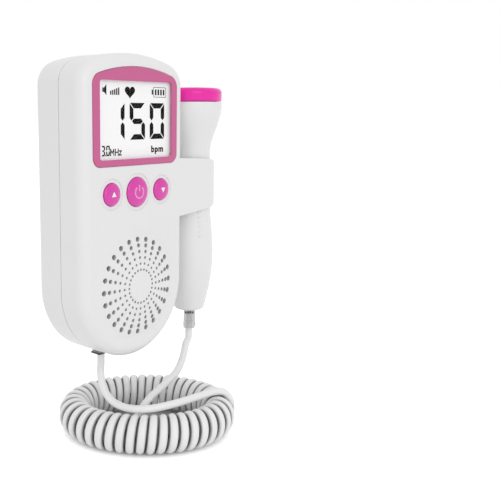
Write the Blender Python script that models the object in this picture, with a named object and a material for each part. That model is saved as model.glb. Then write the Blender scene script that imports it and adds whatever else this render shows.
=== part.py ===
"""Hand-held fetal doppler monitor with a clip-on probe on a curly cord.

The model is in metres, +Z up.  The front faces -Y.  The origin lies on the flat
back face of the rear shell, level with the centre of the loudspeaker grille,
so the display and the buttons are at +Z and the cord hangs below.
"""

import math

import bmesh
import bpy
import numpy as np
from mathutils import Matrix, Vector

MM = 0.001

# Clearances shared by every seat in the model
GAP = 0.3 * MM
CUT = 2.0 * MM

# Housing
BODY_WIDTH = 65.0 * MM
BODY_TOP = 102.0 * MM
BODY_DEPTH = 30.8 * MM
SEAM_DEPTH = 14.2 * MM
WALL = 2.4 * MM
TOP_ARC_RADIUS = 85.0 * MM
CORNER_RADIUS = 11.0 * MM
FRONT_ROUND = 5.2 * MM
REAR_ROUND = 5.2 * MM
INNER_ROUND = 1.0 * MM
BOTTOM_STEPS = 20
CORNER_STEPS = 4
TOP_STEPS = 6
ROUND_STEPS = 4

# Loudspeaker grille: a shallow dome with spokes of holes that grow outwards
GRILLE_RADIUS = 22.4 * MM
GRILLE_RISE = 2.6 * MM
GRILLE_SPOKES = 24
HOLE_RINGS = 6
HOLE_SIDES = 6
FIRST_RING_RADIUS = 7.5 * MM
LAST_RING_RADIUS = 21.0 * MM
FIRST_HOLE_RADIUS = 0.5 * MM
LAST_HOLE_RADIUS = 1.15 * MM
HOLE_GROWTH = 2.0

# Display bezel, window and panel
BEZEL_INSET = 6.0 * MM
BEZEL_BOTTOM = 53.9 * MM
BEZEL_CORNER = 4.0 * MM
BEZEL_PROUD = 0.4 * MM
BEZEL_RECESS = 1.4 * MM
BEZEL_LIP = 0.5 * MM
BEZEL_SIDE_BORDER = 3.9 * MM
VIEW_BOTTOM = 56.7 * MM
VIEW_TOP = 89.9 * MM
VIEW_CORNER = 1.2 * MM
WINDOW_LAP = 0.9 * MM
LCD_THICK = 2.0 * MM
LCD_LAP = 1.1 * MM
LCD_CORNER = 0.6 * MM
BACKLIGHT_THICK = 3.8 * MM

# Buttons
BUTTON_Z = 42.0 * MM
BUTTON_GAP = 4.35 * MM
POWER_RADIUS = 6.5 * MM
VOLUME_RADIUS = 4.9 * MM
BUTTON_PROUD = 1.4 * MM
BUTTON_TRAVEL = 1.0 * MM
BUTTON_FLANGE = 1.0 * MM
BUTTON_STEM_RADIUS = 1.5 * MM
BUTTON_STEM = 0.9 * MM
BUTTON_HALO = 2.1 * MM
BUTTON_HALO_DEPTH = 0.35 * MM
SWITCH_WIDTH = 6.0 * MM
SWITCH_PLUNGER = 0.4 * MM

# Main circuit board and its chips
BOARD_THICK = 1.6 * MM
BOARD_SIDE_MARGIN = 9.5 * MM
BOARD_BOTTOM = 26.0 * MM
BOARD_TOP = 90.8 * MM
CHIP_THICK = 1.2 * MM
CHIP_Z = 30.5 * MM
CHIP_SHARES = [
    ("amplifier_chip", -0.62, 0.22),
    ("controller_chip", -0.1, 0.26),
    ("radio_chip", 0.52, 0.18),
]

# Loudspeaker
SPEAKER_STEP = 0.4 * MM
SPEAKER_RIM = 1.6 * MM
SPEAKER_BASKET = 6.0 * MM
SPEAKER_BASKET_RADIUS = 12.5 * MM
SPEAKER_WALL = 1.2 * MM
CONE_THICK = 0.8 * MM
MAGNET_RADIUS = 11.0 * MM
MAGNET_THICK = 4.6 * MM

# Battery bay: two AA cells side by side under a cover with two hooks
CELL_RADIUS = 7.25 * MM
CELL_LENGTH = 49.5 * MM
CELL_NUB_RADIUS = 2.75 * MM
CELL_NUB = 1.0 * MM
CELL_STEPS = 16
CELL_SIDE_GAP = 0.35 * MM
CELL_BOTTOM = 34.0 * MM
CONTACT_SPACE = 3.4 * MM
CONTACT_PLATE = 0.5 * MM
CONTACT_SIZE = 10.0 * MM
BAY_WALL = 1.4 * MM
COVER_THICK = 1.5 * MM
COVER_LEDGE = 2.2 * MM
COVER_CORNER = 3.0 * MM
COVER_GROOVES = 5
COVER_GROOVE_PITCH = 2.4 * MM
COVER_GROOVE_WIDTH = 1.0 * MM
COVER_GROOVE_LENGTH = 14.0 * MM
COVER_GROOVE_DEPTH = 0.5 * MM
HOOK_WIDTH = 5.0 * MM
HOOK_X = 10.0 * MM
HOOK_THICK = 1.7 * MM
HOOK_REACH = 1.6 * MM
HOOK_ROOT = 1.4 * MM
LIP_THICK = 1.2 * MM
FINGER_NOTCH_RADIUS = 6.0 * MM
FINGER_NOTCH_DEPTH = 1.2 * MM

# Case screws
SCREW_RADIUS = 1.2 * MM
SCREW_HEAD_RADIUS = 2.4 * MM
SCREW_HEAD = 1.6 * MM
SCREW_SINK = 3.0 * MM
SCREW_BITE = 7.0 * MM
BOSS_WALL = 1.7 * MM
POST_STEPS = 12
SCREW_SPEAKER_GAP = 1.2 * MM
SCREW_JACK_GAP = 1.0 * MM
UPPER_SCREW_X = 15.0 * MM
UPPER_SCREW_Z = 95.2 * MM

# Sockets in the underside
SOCKET_Y = -7.0 * MM
SOCKET_NOSE_SINK = 1.1 * MM
SOCKET_NOSE_LENGTH = 4.6 * MM
SOCKET_LENGTH = 12.9 * MM
SOCKET_WALL = 1.0 * MM
SOCKET_BACK = 0.9 * MM
SOCKET_BODY_EXTRA = 0.8 * MM
JACK_SOCKET_GAP = 0.6 * MM
PHONE_JACK_Y = -9.0 * MM
PHONE_BARREL_RADIUS = 3.0 * MM
PHONE_BORE_RADIUS = 1.8 * MM
PHONE_BODY_HALF = 3.4 * MM
PHONE_BODY_LENGTH = 10.0 * MM
PHONE_RECESS = 0.8 * MM

# Modular plugs at both ends of the cord
PLUG_WIDTH = 7.0 * MM
PLUG_THICK = 5.4 * MM
PLUG_INSERTED = 8.0 * MM
UNIT_PLUG_SHOWS = 4.9 * MM
PROBE_PLUG_SHOWS = 9.8 * MM
PLUG_EDGE = 0.5 * MM
LATCH_WIDTH = 3.2 * MM
LATCH_THICK = 0.9 * MM
LATCH_SPREAD = 1.5 * MM
LATCH_ROOT_DROP = 1.0 * MM
LATCH_END_LIFT = 0.6 * MM

# Probe, turned about an upright axis
PROBE_SIDE_GAP = 2.2 * MM
PROBE_Y = -20.3 * MM
PROBE_ROLL = math.radians(-47.4)
PROBE_STEPS = 24
HEAD_RADIUS = 15.0 * MM
WAIST_RADIUS = 9.75 * MM
SWELL_RADIUS = 11.7 * MM
TAIL_RADIUS = 7.2 * MM
HEAD_TOP = 88.3 * MM
RING_BOTTOM = 82.0 * MM
FLARE_TOP = 79.0 * MM
FLARE_BOTTOM = 57.0 * MM
SWELL_START = 38.0 * MM
SWELL_PEAK = 7.0 * MM
PROBE_BOTTOM = -21.6 * MM
TAIL_ROUND = 1.6 * MM
TAIL_POWER = 1.9
PROBE_WALL = 1.8 * MM
PROBE_FLOOR = -4.0 * MM
RING_ROUND = 2.6 * MM
RING_FLANGE = 2.6 * MM
RING_SPIGOT = 2.4 * MM
FACE_THICK = 2.2 * MM
FACE_PROUD = 0.4 * MM
FACE_SEAT = 1.2 * MM
CRYSTAL_THICK = 1.0 * MM
CRYSTAL_SPLIT = 0.8 * MM
CRYSTAL_MARGIN = 1.6 * MM
HOLDER_THICK = 4.0 * MM
PROBE_BOARD_THICK = 1.2 * MM
PROBE_BOARD_HALF_WIDTH = 6.5 * MM
PROBE_BOARD_BOTTOM = 22.0 * MM
GRIP_DASHES = 6
GRIP_PITCH = 2.3 * MM
GRIP_TOP = 31.0 * MM
GRIP_HEIGHT = 0.9 * MM
GRIP_WIDTH = 2.6 * MM
GRIP_PROUD = 0.35 * MM
GRIP_ANGLE = math.radians(-113.0)

# Probe clip, moulded with the front shell and open to the back
CLIP_WALL = 1.6 * MM
CLIP_ROOT_TOP = 55.6 * MM
CLIP_TIP_TOP = 54.0 * MM
CLIP_ROOT_BOTTOM = 28.2 * MM
CLIP_TIP_BOTTOM = 31.8 * MM
CLIP_TIP_ANGLE = math.radians(-30.0)
CLIP_TIP_REACH = 8.4 * MM
CLIP_TIP_RISE = 10.0 * MM
CLIP_LEFT_ARM = 7.0 * MM
CLIP_WEB_DEPTH = 8.0 * MM
CLIP_STEPS = 12
TIP_STEPS = 7

# Curly cord: a ring of curls lying below the housing, and two plain leads
CORD_RADIUS = 1.8 * MM
CURL_OUT = 6.1 * MM
CURL_UP = 7.3 * MM
CURL_COUNT = 41.25
CURL_POINTS = 9
RING_CENTRE_X = 23.0 * MM
RING_CENTRE_Y = -15.7 * MM
RING_CENTRE_Z = -70.2 * MM
RING_LONG = 35.6 * MM
RING_SHORT = 27.0 * MM
RING_TURN = math.radians(-47.4)
RING_GAP_ANGLE = math.radians(5.8)
COIL_HEAD = 1.5 * MM
COIL_TAIL = 6.0 * MM
LEAD_STEP = 7.5 * MM
LEAD_STRAIGHT = 5.0 * MM
UNIT_LEAD_DROP = 3.5 * MM

# Routes of the plain leads, in the ring's own frame: along its long axis,
# along its short axis and up, from the ring's centre
UNIT_LEAD_ROUTE = [
    (-22.1 * MM, -12.6 * MM, 25.0 * MM),
    (-20.7 * MM, -14.4 * MM, 17.6 * MM),
    (-17.0 * MM, -17.6 * MM, 12.9 * MM),
    (-11.6 * MM, -20.6 * MM, 10.8 * MM),
    (-5.4 * MM, -22.8 * MM, 10.5 * MM),
    (1.6 * MM, -23.0 * MM, 10.8 * MM),
    (8.8 * MM, -20.8 * MM, 11.3 * MM),
    (15.4 * MM, -17.2 * MM, 11.6 * MM),
    (21.6 * MM, -12.8 * MM, 11.8 * MM),
    (27.6 * MM, -8.0 * MM, 11.8 * MM),
    (33.2 * MM, -3.2 * MM, 11.5 * MM),
    (38.2 * MM, -0.3 * MM, 10.0 * MM),
]
PROBE_LEAD_ROUTE = [
    (19.9 * MM, 13.9 * MM, 30.4 * MM),
    (18.3 * MM, 11.6 * MM, 24.2 * MM),
    (15.2 * MM, 7.8 * MM, 18.2 * MM),
    (9.2 * MM, 2.1 * MM, 13.6 * MM),
    (2.2 * MM, -6.3 * MM, 10.2 * MM),
    (-2.2 * MM, -13.2 * MM, 7.2 * MM),
    (-4.9 * MM, -15.4 * MM, 2.4 * MM),
    (-5.2 * MM, -16.0 * MM, -2.4 * MM),
    (-1.6 * MM, -14.4 * MM, -6.5 * MM),
    (5.0 * MM, -10.2 * MM, -7.3 * MM),
    (12.0 * MM, -4.4 * MM, -7.3 * MM),
    (18.6 * MM, -0.4 * MM, -7.3 * MM),
]

# Places worked out from the sizes above
FRONT = -BODY_DEPTH
SEAM = FRONT + SEAM_DEPTH
HALF_WIDTH = BODY_WIDTH / 2
BUTTON_SPACING = POWER_RADIUS + BUTTON_GAP + VOLUME_RADIUS
BOARD_HALF_WIDTH = HALF_WIDTH - BOARD_SIDE_MARGIN
VIEW_HALF_WIDTH = HALF_WIDTH - BEZEL_INSET - BEZEL_SIDE_BORDER
PROBE_X = HALF_WIDTH + PROBE_SIDE_GAP + HEAD_RADIUS
SOCKET_NOSE_DROP = HALF_WIDTH - SOCKET_NOSE_SINK
SOCKET_SHOULDER = SOCKET_NOSE_DROP - SOCKET_NOSE_LENGTH
SOCKET_TOP = SOCKET_NOSE_DROP - SOCKET_LENGTH
TOP_ARC_Z = BODY_TOP - TOP_ARC_RADIUS
INNER_FRONT = FRONT + WALL
WINDOW_FRONT = FRONT - BEZEL_PROUD + BEZEL_LIP + GAP
WINDOW_BACK = FRONT + BEZEL_RECESS - GAP
LCD_FRONT = WINDOW_BACK + GAP
BACKLIGHT_FRONT = LCD_FRONT + LCD_THICK + GAP
BOARD_FRONT = BACKLIGHT_FRONT + BACKLIGHT_THICK + GAP
CELL_X = CELL_RADIUS + CELL_SIDE_GAP
CELL_Y = -COVER_THICK - 2 * GAP - CELL_RADIUS
BAY_HALF_WIDTH = CELL_X + CELL_RADIUS + CELL_SIDE_GAP
BAY_BOTTOM = CELL_BOTTOM - CONTACT_SPACE
BAY_TOP = CELL_BOTTOM + CELL_LENGTH + CELL_NUB + CONTACT_SPACE
BAY_FLOOR = CELL_Y - CELL_RADIUS - GAP
COVER_HALF_WIDTH = BAY_HALF_WIDTH + COVER_LEDGE - GAP
COVER_BOTTOM = BAY_BOTTOM - COVER_LEDGE + GAP
COVER_TOP = BAY_TOP + COVER_LEDGE - GAP
BOSS_RADIUS = SCREW_RADIUS + GAP + BOSS_WALL
POST_RADIUS = max(BOSS_RADIUS, SCREW_HEAD_RADIUS + GAP + BOSS_WALL / 2)
SPEAKER_RADIUS = GRILLE_RADIUS - SPEAKER_STEP
PHONE_SHOULDER = HALF_WIDTH - WALL - INNER_ROUND
PHONE_BODY_START = PHONE_SHOULDER - PHONE_BODY_LENGTH
SOCKET_HALF_WIDTH = PLUG_WIDTH / 2 + GAP + SOCKET_WALL + SOCKET_BODY_EXTRA
JACK_CORNER = math.hypot(PHONE_BODY_START, PHONE_BODY_HALF)
JACK_CORNER_ANGLE = math.acos((SOCKET_HALF_WIDTH + JACK_SOCKET_GAP) / JACK_CORNER)
PHONE_JACK_ANGLE = math.atan2(PHONE_BODY_HALF, PHONE_BODY_START) - JACK_CORNER_ANGLE
LOWER_SCREW_RADIUS = SPEAKER_RADIUS + BOSS_RADIUS + SCREW_SPEAKER_GAP
SCREW_FROM_JACK = PHONE_BODY_HALF + POST_RADIUS + SCREW_JACK_GAP
LOWER_SCREW_ANGLE = PHONE_JACK_ANGLE + math.asin(SCREW_FROM_JACK / LOWER_SCREW_RADIUS)
LOWER_SCREW_X = LOWER_SCREW_RADIUS * math.cos(LOWER_SCREW_ANGLE)
LOWER_SCREW_Z = LOWER_SCREW_RADIUS * math.sin(LOWER_SCREW_ANGLE)
SCREW_PLACES = [
    (-LOWER_SCREW_X, LOWER_SCREW_Z),
    (LOWER_SCREW_X, LOWER_SCREW_Z),
    (-UPPER_SCREW_X, UPPER_SCREW_Z),
    (UPPER_SCREW_X, UPPER_SCREW_Z),
]
CLIP_INNER = WAIST_RADIUS + 2 * GAP
CLIP_OUTER = CLIP_INNER + CLIP_WALL
RING_CENTRE = Vector((RING_CENTRE_X, RING_CENTRE_Y, RING_CENTRE_Z))
RING_ACROSS = Vector((math.cos(RING_TURN), math.sin(RING_TURN), 0))
RING_DEPTH = Vector((-math.sin(RING_TURN), math.cos(RING_TURN), 0))
PROBE_AXIS = Vector((PROBE_X, PROBE_Y, 0))

PROBE_PIECES = [
    "probe_body",
    "probe_ring",
    "probe_face",
    "transmit_crystal",
    "receive_crystal",
    "crystal_holder",
    "probe_board",
    "probe_socket",
    "probe_plug",
]

# Colours
WHITE = (0.86, 0.86, 0.86)
CORD_WHITE = (0.88, 0.88, 0.88)
PINK = (0.64, 0.14, 0.33)
MAGENTA = (0.78, 0.045, 0.40)
CLEAR = (0.80, 0.82, 0.84)
BOARD_GREEN = (0.03, 0.22, 0.08)
BLACK = (0.02, 0.02, 0.02)
STEEL = (0.62, 0.62, 0.64)
PAPER = (0.16, 0.15, 0.14)
FERRITE = (0.09, 0.09, 0.10)
LCD_GREY = (0.80, 0.84, 0.82)
CRYSTAL = (0.72, 0.62, 0.38)
CELL_WRAP = (0.10, 0.10, 0.13)
FACE_GREY = (0.78, 0.78, 0.80)


def clear_scene():
    """Remove every object, so that the model starts from nothing."""
    for item in list(bpy.data.objects):
        bpy.data.objects.remove(item, do_unlink=True)


def plastic(name, colour, roughness=0.45, metallic=0.0, alpha=1.0):
    """A Principled material with one colour."""
    material = bpy.data.materials.new(name)
    material.use_nodes = True
    shader = material.node_tree.nodes["Principled BSDF"]
    shader.inputs["Base Color"].default_value = (*colour, 1.0)
    shader.inputs["Roughness"].default_value = roughness
    shader.inputs["Metallic"].default_value = metallic
    shader.inputs["Alpha"].default_value = alpha
    material.diffuse_color = (*colour, alpha)
    return material


def set_origin(item, point):
    """Move an object's origin without moving its shape."""
    item.data.transform(Matrix.Translation(-Vector(point)))
    item.location = point
    return item


def finish(item, name, material, sharp_angle=math.radians(35.0)):
    """Name a solid, give it its material and shade its round faces smooth."""
    item.name = name
    item.data.name = name
    item.data.materials.clear()
    item.data.materials.append(material)
    item.data.shade_smooth()
    item.data.set_sharp_from_angle(angle=sharp_angle)
    return item


def solid(build, name="shape"):
    """An object from a bmesh that is merged, closed and turned outwards."""
    bmesh.ops.remove_doubles(build, verts=build.verts, dist=GAP / 1000)
    bmesh.ops.recalc_face_normals(build, faces=build.faces)
    mesh = bpy.data.meshes.new(name)
    build.to_mesh(mesh)
    build.free()
    item = bpy.data.objects.new(name, mesh)
    bpy.context.collection.objects.link(item)
    return item


def loft(rings):
    """A closed solid through rings of points, with a flat cap at each end."""
    build = bmesh.new()
    loops = [[build.verts.new(point) for point in ring] for ring in rings]
    count = len(rings[0])
    for low, high in zip(loops, loops[1:]):
        for i in range(count):
            j = (i + 1) % count
            build.faces.new((low[i], low[j], high[j], high[i]))
    build.faces.new(list(reversed(loops[0])))
    build.faces.new(loops[-1])
    return solid(build)


def prism_y(outline, near, far):
    """An outline of (x, z) points carried from one depth to another."""
    return loft([[(x, y, z) for x, z in outline] for y in (near, far)])


def prism_x(outline, left, right):
    """An outline of (y, z) points carried from left to right."""
    return loft([[(x, y, z) for y, z in outline] for x in (left, right)])


def prism_z(outline, low, high):
    """An outline of (x, y) points carried upwards."""
    return loft([[(x, y, z) for x, y in outline] for z in (low, high)])


def box(left, right, near, far, low, high):
    """A plain block between two corners."""
    return prism_z([(left, near), (right, near), (right, far), (left, far)], low, high)


def turned(profile, steps, to_point):
    """A solid of revolution.

    The profile holds (radius, height) pairs from one end of the axis to the
    other, and to_point places (across, up, along) in the model.  A pair on the
    axis becomes one vertex.
    """
    build = bmesh.new()
    loops = []
    for radius, height in profile:
        if radius == 0:
            loops.append([build.verts.new(to_point(0, 0, height))])
            continue
        ring = []
        for i in range(steps):
            angle = 2 * math.pi * (i + 0.5) / steps
            across, up = radius * math.cos(angle), radius * math.sin(angle)
            ring.append(build.verts.new(to_point(across, up, height)))
        loops.append(ring)
    for low, high in zip(loops, loops[1:]):
        for i in range(steps):
            j = (i + 1) % steps
            corners = [low[i % len(low)], low[j % len(low)], high[j % len(high)], high[i % len(high)]]
            face = list(dict.fromkeys(corners))
            if len(face) > 2:
                build.faces.new(face)
    for loop in (loops[0], loops[-1]):
        if len(loop) > 1:
            build.faces.new(loop)
    return solid(build)


def along_y(x, z):
    """Placing for a turned piece whose axis runs along Y through (x, z)."""
    return lambda across, up, along: (x + across, along, z + up)


def hang_on(empty, *items):
    """Parent pieces to an empty on their joint's axis, where they stand."""
    for item in items:
        set_origin(item, empty.location)
        item.parent = empty
        item.location = (0.0, 0.0, 0.0)


def along_z(x, y):
    """Placing for a turned piece whose axis runs along Z through (x, y)."""
    return lambda across, up, along: (x + across, y + up, along)


def joined(items):
    """Several separate solids as one object."""
    build = bmesh.new()
    for item in items:
        item.data.transform(item.matrix_world)
        build.from_mesh(item.data)
        bpy.data.objects.remove(item, do_unlink=True)
    mesh = bpy.data.meshes.new("group")
    build.to_mesh(mesh)
    build.free()
    group = bpy.data.objects.new("group", mesh)
    bpy.context.collection.objects.link(group)
    return group


def combine(target, other, operation):
    """Apply one Boolean to a solid and remove the other."""
    modifier = target.modifiers.new("combine", "BOOLEAN")
    modifier.operation = operation
    modifier.solver = "EXACT"
    modifier.object = other
    bpy.context.view_layer.update()
    depsgraph = bpy.context.evaluated_depsgraph_get()
    mesh = bpy.data.meshes.new_from_object(target.evaluated_get(depsgraph))
    target.modifiers.clear()
    target.data = mesh
    bpy.data.objects.remove(other, do_unlink=True)
    return target


def cut(target, *cutters):
    """Cut each cutter out of a solid."""
    for cutter in cutters:
        combine(target, cutter, "DIFFERENCE")
    return target


def fuse(target, *others):
    """Join other solids to a solid."""
    for other in others:
        combine(target, other, "UNION")
    return target


def arc(centre, radius, start, stop, steps):
    """Points of a circle's arc, both ends included."""
    angles = [start + (stop - start) * i / steps for i in range(steps + 1)]
    return [(centre[0] + radius * math.cos(a), centre[1] + radius * math.sin(a)) for a in angles]


def rounded_box(left, right, low, high, radius, steps=3):
    """Outline of a rectangle with rounded corners."""
    quarter = math.pi / 2
    corners = [
        ((right - radius, high - radius), 0.0),
        ((left + radius, high - radius), quarter),
        ((left + radius, low + radius), 2 * quarter),
        ((right - radius, low + radius), 3 * quarter),
    ]
    points = []
    for centre, start in corners:
        points += arc(centre, radius, start, start + quarter, steps)
    return points


def top_outline(inset):
    """The corners and the shallow arc of the housing's top, right to left."""
    spread = TOP_ARC_RADIUS - CORNER_RADIUS
    corner_x = HALF_WIDTH - CORNER_RADIUS
    lean = math.asin(corner_x / spread)
    corner_z = TOP_ARC_Z + spread * math.cos(lean)
    quarter = math.pi / 2
    radius = CORNER_RADIUS - inset
    right = arc((corner_x, corner_z), radius, 0.0, quarter - lean, CORNER_STEPS)
    top = arc((0, TOP_ARC_Z), TOP_ARC_RADIUS - inset, quarter - lean, quarter + lean, TOP_STEPS)
    left = arc((-corner_x, corner_z), radius, quarter + lean, 2 * quarter, CORNER_STEPS)
    return right + top[1:-1] + left


def housing_outline(inset):
    """The U-shaped outline of the housing, drawn in by an inset."""
    bottom = arc((0, 0), HALF_WIDTH - inset, math.pi, 2 * math.pi, BOTTOM_STEPS)
    return bottom + top_outline(inset)


def housing_ring(depth, inset):
    """The housing's outline at a depth, as points in space."""
    return [(x, depth, z) for x, z in housing_outline(inset)]


def bezel_outline(grow):
    """The display bezel's outline, grown by an amount."""
    quarter = math.pi / 2
    side = HALF_WIDTH - BEZEL_INSET + grow
    low = BEZEL_BOTTOM - grow
    radius = BEZEL_CORNER + grow
    left = arc((-side + radius, low + radius), radius, 2 * quarter, 3 * quarter, CORNER_STEPS)
    right = arc((side - radius, low + radius), radius, 3 * quarter, 4 * quarter, CORNER_STEPS)
    return left + right + top_outline(BEZEL_INSET - grow)


def view_outline(grow, radius):
    """The display's viewing area, grown by an amount, with rounded corners."""
    half = VIEW_HALF_WIDTH + grow
    return rounded_box(-half, half, VIEW_BOTTOM - grow, VIEW_TOP + grow, radius)


def rounded_shell_rings(face, round_radius, direction):
    """Rings that turn a flat face into the side wall through a quarter circle."""
    rings = []
    for i in range(ROUND_STEPS + 1):
        angle = math.pi / 2 * i / ROUND_STEPS
        inset = round_radius * (1 - math.sin(angle))
        depth = face + direction * round_radius * (1 - math.cos(angle))
        rings.append(housing_ring(depth, inset))
    return rings


def dome_height(radius):
    """Rise of the grille's spherical dome above the front at a radius."""
    sphere = (GRILLE_RADIUS**2 + GRILLE_RISE**2) / (2 * GRILLE_RISE)
    return math.sqrt(sphere**2 - radius**2) - (sphere - GRILLE_RISE)


def ring_radii():
    """Radii of the rings of holes."""
    step = (LAST_RING_RADIUS - FIRST_RING_RADIUS) / (HOLE_RINGS - 1)
    return [FIRST_RING_RADIUS + step * i for i in range(HOLE_RINGS)]


def dome_profile(base, floor):
    """Profile of the dome, with a ring line between each two rings of holes."""
    radii = ring_radii()
    half_step = (radii[1] - radii[0]) / 2
    lines = [radius - half_step for radius in radii] + [GRILLE_RADIUS, GRILLE_RADIUS + half_step / 2]
    profile = [(line, base - dome_height(line)) for line in lines]
    return profile + [(lines[-1], floor)]


def grille_holes():
    """Every hole of the grille as one cutter: spokes of prisms that grow outwards."""
    prisms = []
    radii = ring_radii()
    for spoke in range(GRILLE_SPOKES):
        angle = 2 * math.pi * spoke / GRILLE_SPOKES
        for ring, radius in enumerate(radii):
            grown = (ring / (HOLE_RINGS - 1)) ** HOLE_GROWTH
            hole = FIRST_HOLE_RADIUS + (LAST_HOLE_RADIUS - FIRST_HOLE_RADIUS) * grown
            centre = (radius * math.cos(angle), radius * math.sin(angle))
            outline = arc(centre, hole, angle, angle + 2 * math.pi, HOLE_SIDES)[:-1]
            prisms.append(prism_y(outline, FRONT - GRILLE_RISE - CUT, INNER_FRONT + CUT))
    return joined(prisms)


def button_places():
    """Name, x place and cap radius of each button."""
    return [
        ("volume_up_button", -BUTTON_SPACING, VOLUME_RADIUS),
        ("power_button", 0.0, POWER_RADIUS),
        ("volume_down_button", BUTTON_SPACING, VOLUME_RADIUS),
    ]


def button_hole(x, radius):
    """Cutter for a button's hole with a shallow halo round it."""
    bore = radius + GAP
    profile = [
        (bore + BUTTON_HALO + BUTTON_HALO_DEPTH, FRONT - BUTTON_HALO_DEPTH),
        (bore + BUTTON_HALO - BUTTON_HALO_DEPTH, FRONT + BUTTON_HALO_DEPTH),
        (bore, FRONT + BUTTON_HALO_DEPTH / 2),
        (bore, INNER_FRONT + CUT),
    ]
    return turned(profile, PROBE_STEPS, along_y(x, BUTTON_Z))


def clip_outline():
    """Plan of the probe clip: a smooth arm, a half ring and an inner arm."""
    start = (HALF_WIDTH - FRONT_ROUND, FRONT)
    reach = math.hypot(PROBE_X - start[0], PROBE_Y - start[1])
    towards = math.atan2(PROBE_Y - start[1], PROBE_X - start[0])
    lean = math.asin(CLIP_OUTER / reach)
    tangent = towards - lean - math.pi / 2
    centre = (PROBE_X, PROBE_Y)
    outer = arc(centre, CLIP_OUTER, tangent, CLIP_TIP_ANGLE, CLIP_STEPS)
    inner = arc(centre, CLIP_INNER, CLIP_TIP_ANGLE, -math.pi, CLIP_STEPS + 3)
    arm_end = PROBE_Y + CLIP_LEFT_ARM
    web_back = SEAM - CLIP_WALL
    wall_side = HALF_WIDTH - WALL / 2
    arm = [
        (PROBE_X - CLIP_INNER, arm_end),
        (PROBE_X - CLIP_OUTER, arm_end),
        (PROBE_X - CLIP_OUTER, web_back + CLIP_WALL),
        (wall_side, web_back - CLIP_WALL),
        (wall_side, web_back - CLIP_WEB_DEPTH),
        (start[0], FRONT + WALL / 2),
    ]
    return [start] + outer + inner + arm


def clip_height(x, root, tip):
    """Height of the clip's slanting edge at a place across."""
    root_x = HALF_WIDTH - FRONT_ROUND
    tip_x = PROBE_X + CLIP_OUTER
    return root + (tip - root) * (x - root_x) / (tip_x - root_x)


def clip_solid():
    """The clip between its two slanting edges, with a tongue's elliptical corners at its tip."""
    outline = clip_outline()
    low = [(x, y, clip_height(x, CLIP_ROOT_BOTTOM, CLIP_TIP_BOTTOM)) for x, y in outline]
    high = [(x, y, clip_height(x, CLIP_ROOT_TOP, CLIP_TIP_TOP)) for x, y in outline]
    clip = loft([low, high])
    end = PROBE_X + CLIP_INNER * math.cos(CLIP_TIP_ANGLE)
    start = end - CLIP_TIP_REACH
    edges = ((CLIP_ROOT_TOP, CLIP_TIP_TOP, 1), (CLIP_ROOT_BOTTOM, CLIP_TIP_BOTTOM, -1))
    for root, tip, side in edges:
        edge = clip_height(start, root, tip)
        rise = side * CLIP_TIP_RISE
        curve = [
            (start + CLIP_TIP_REACH * across, edge - rise + rise * up)
            for across, up in arc((0.0, 0.0), 1.0, math.pi / 2, 0.0, TIP_STEPS)
        ]
        beyond = end + CLIP_WALL
        corner = curve + [(beyond, edge - rise), (beyond, edge + side * CUT), (start, edge + side * CUT)]
        cut(clip, prism_y(corner, PROBE_Y - CLIP_OUTER - CUT, PROBE_Y))
    return clip


def cylinder_y(x, z, radius, near, far, steps=POST_STEPS):
    """A round post along Y."""
    return turned([(radius, near), (radius, far)], steps, along_y(x, z))


def front_shell(material):
    """The front shell with its domed grille, display recess, button holes and probe clip."""
    rings = rounded_shell_rings(FRONT, FRONT_ROUND, 1)
    rings.append(housing_ring(SEAM - GAP / 2, 0.0))
    shell = loft(rings)
    dome = turned(dome_profile(FRONT, FRONT + WALL / 2), GRILLE_SPOKES, along_y(0.0, 0.0))
    fuse(shell, dome, clip_solid())
    cavity = loft([
        housing_ring(INNER_FRONT, FRONT_ROUND + INNER_ROUND),
        housing_ring(FRONT + FRONT_ROUND + INNER_ROUND, WALL),
        housing_ring(SEAM + CUT, WALL),
    ])
    cut(shell, cavity)
    inner_dome = turned(dome_profile(INNER_FRONT, INNER_FRONT + CUT), GRILLE_SPOKES, along_y(0.0, 0.0))
    cut(shell, inner_dome)
    for x, z in SCREW_PLACES:
        boss = cylinder_y(x, z, BOSS_RADIUS, INNER_FRONT - WALL / 3, SEAM - GAP / 2)
        fuse(shell, boss)
        cut(shell, cylinder_y(x, z, SCREW_RADIUS + GAP, SEAM - SCREW_BITE - GAP, SEAM + CUT, 8))
    cut(
        shell,
        prism_y(bezel_outline(GAP), FRONT - CUT, FRONT + BEZEL_RECESS),
        prism_y(view_outline(LCD_LAP + GAP, LCD_CORNER + GAP), FRONT, INNER_FRONT + CUT),
        grille_holes(),
    )
    for _, x, radius in button_places():
        cut(shell, button_hole(x, radius))
    return finish(shell, "front_shell", material)


def screw_sink(x, z):
    """Cutter for a countersunk screw's head recess and its shank hole."""
    profile = [
        (SCREW_HEAD_RADIUS + GAP, CUT),
        (SCREW_HEAD_RADIUS + GAP, -SCREW_SINK - SCREW_HEAD - GAP),
        (SCREW_RADIUS + GAP, -SCREW_SINK - SCREW_HEAD - GAP),
        (SCREW_RADIUS + GAP, SEAM - CUT),
    ]
    return turned(profile, POST_STEPS, along_y(x, z))


def hook_slots():
    """Cutters for the two slots that take the cover's hooks."""
    slots = []
    half = HOOK_WIDTH / 2 + GAP
    deep = -COVER_THICK - HOOK_THICK - 3 * GAP
    low = COVER_BOTTOM - HOOK_REACH - GAP
    for x in (-HOOK_X, HOOK_X):
        slots.append(box(x - half, x + half, deep, -LIP_THICK, low, BAY_BOTTOM + CUT))
    return joined(slots)


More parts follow.
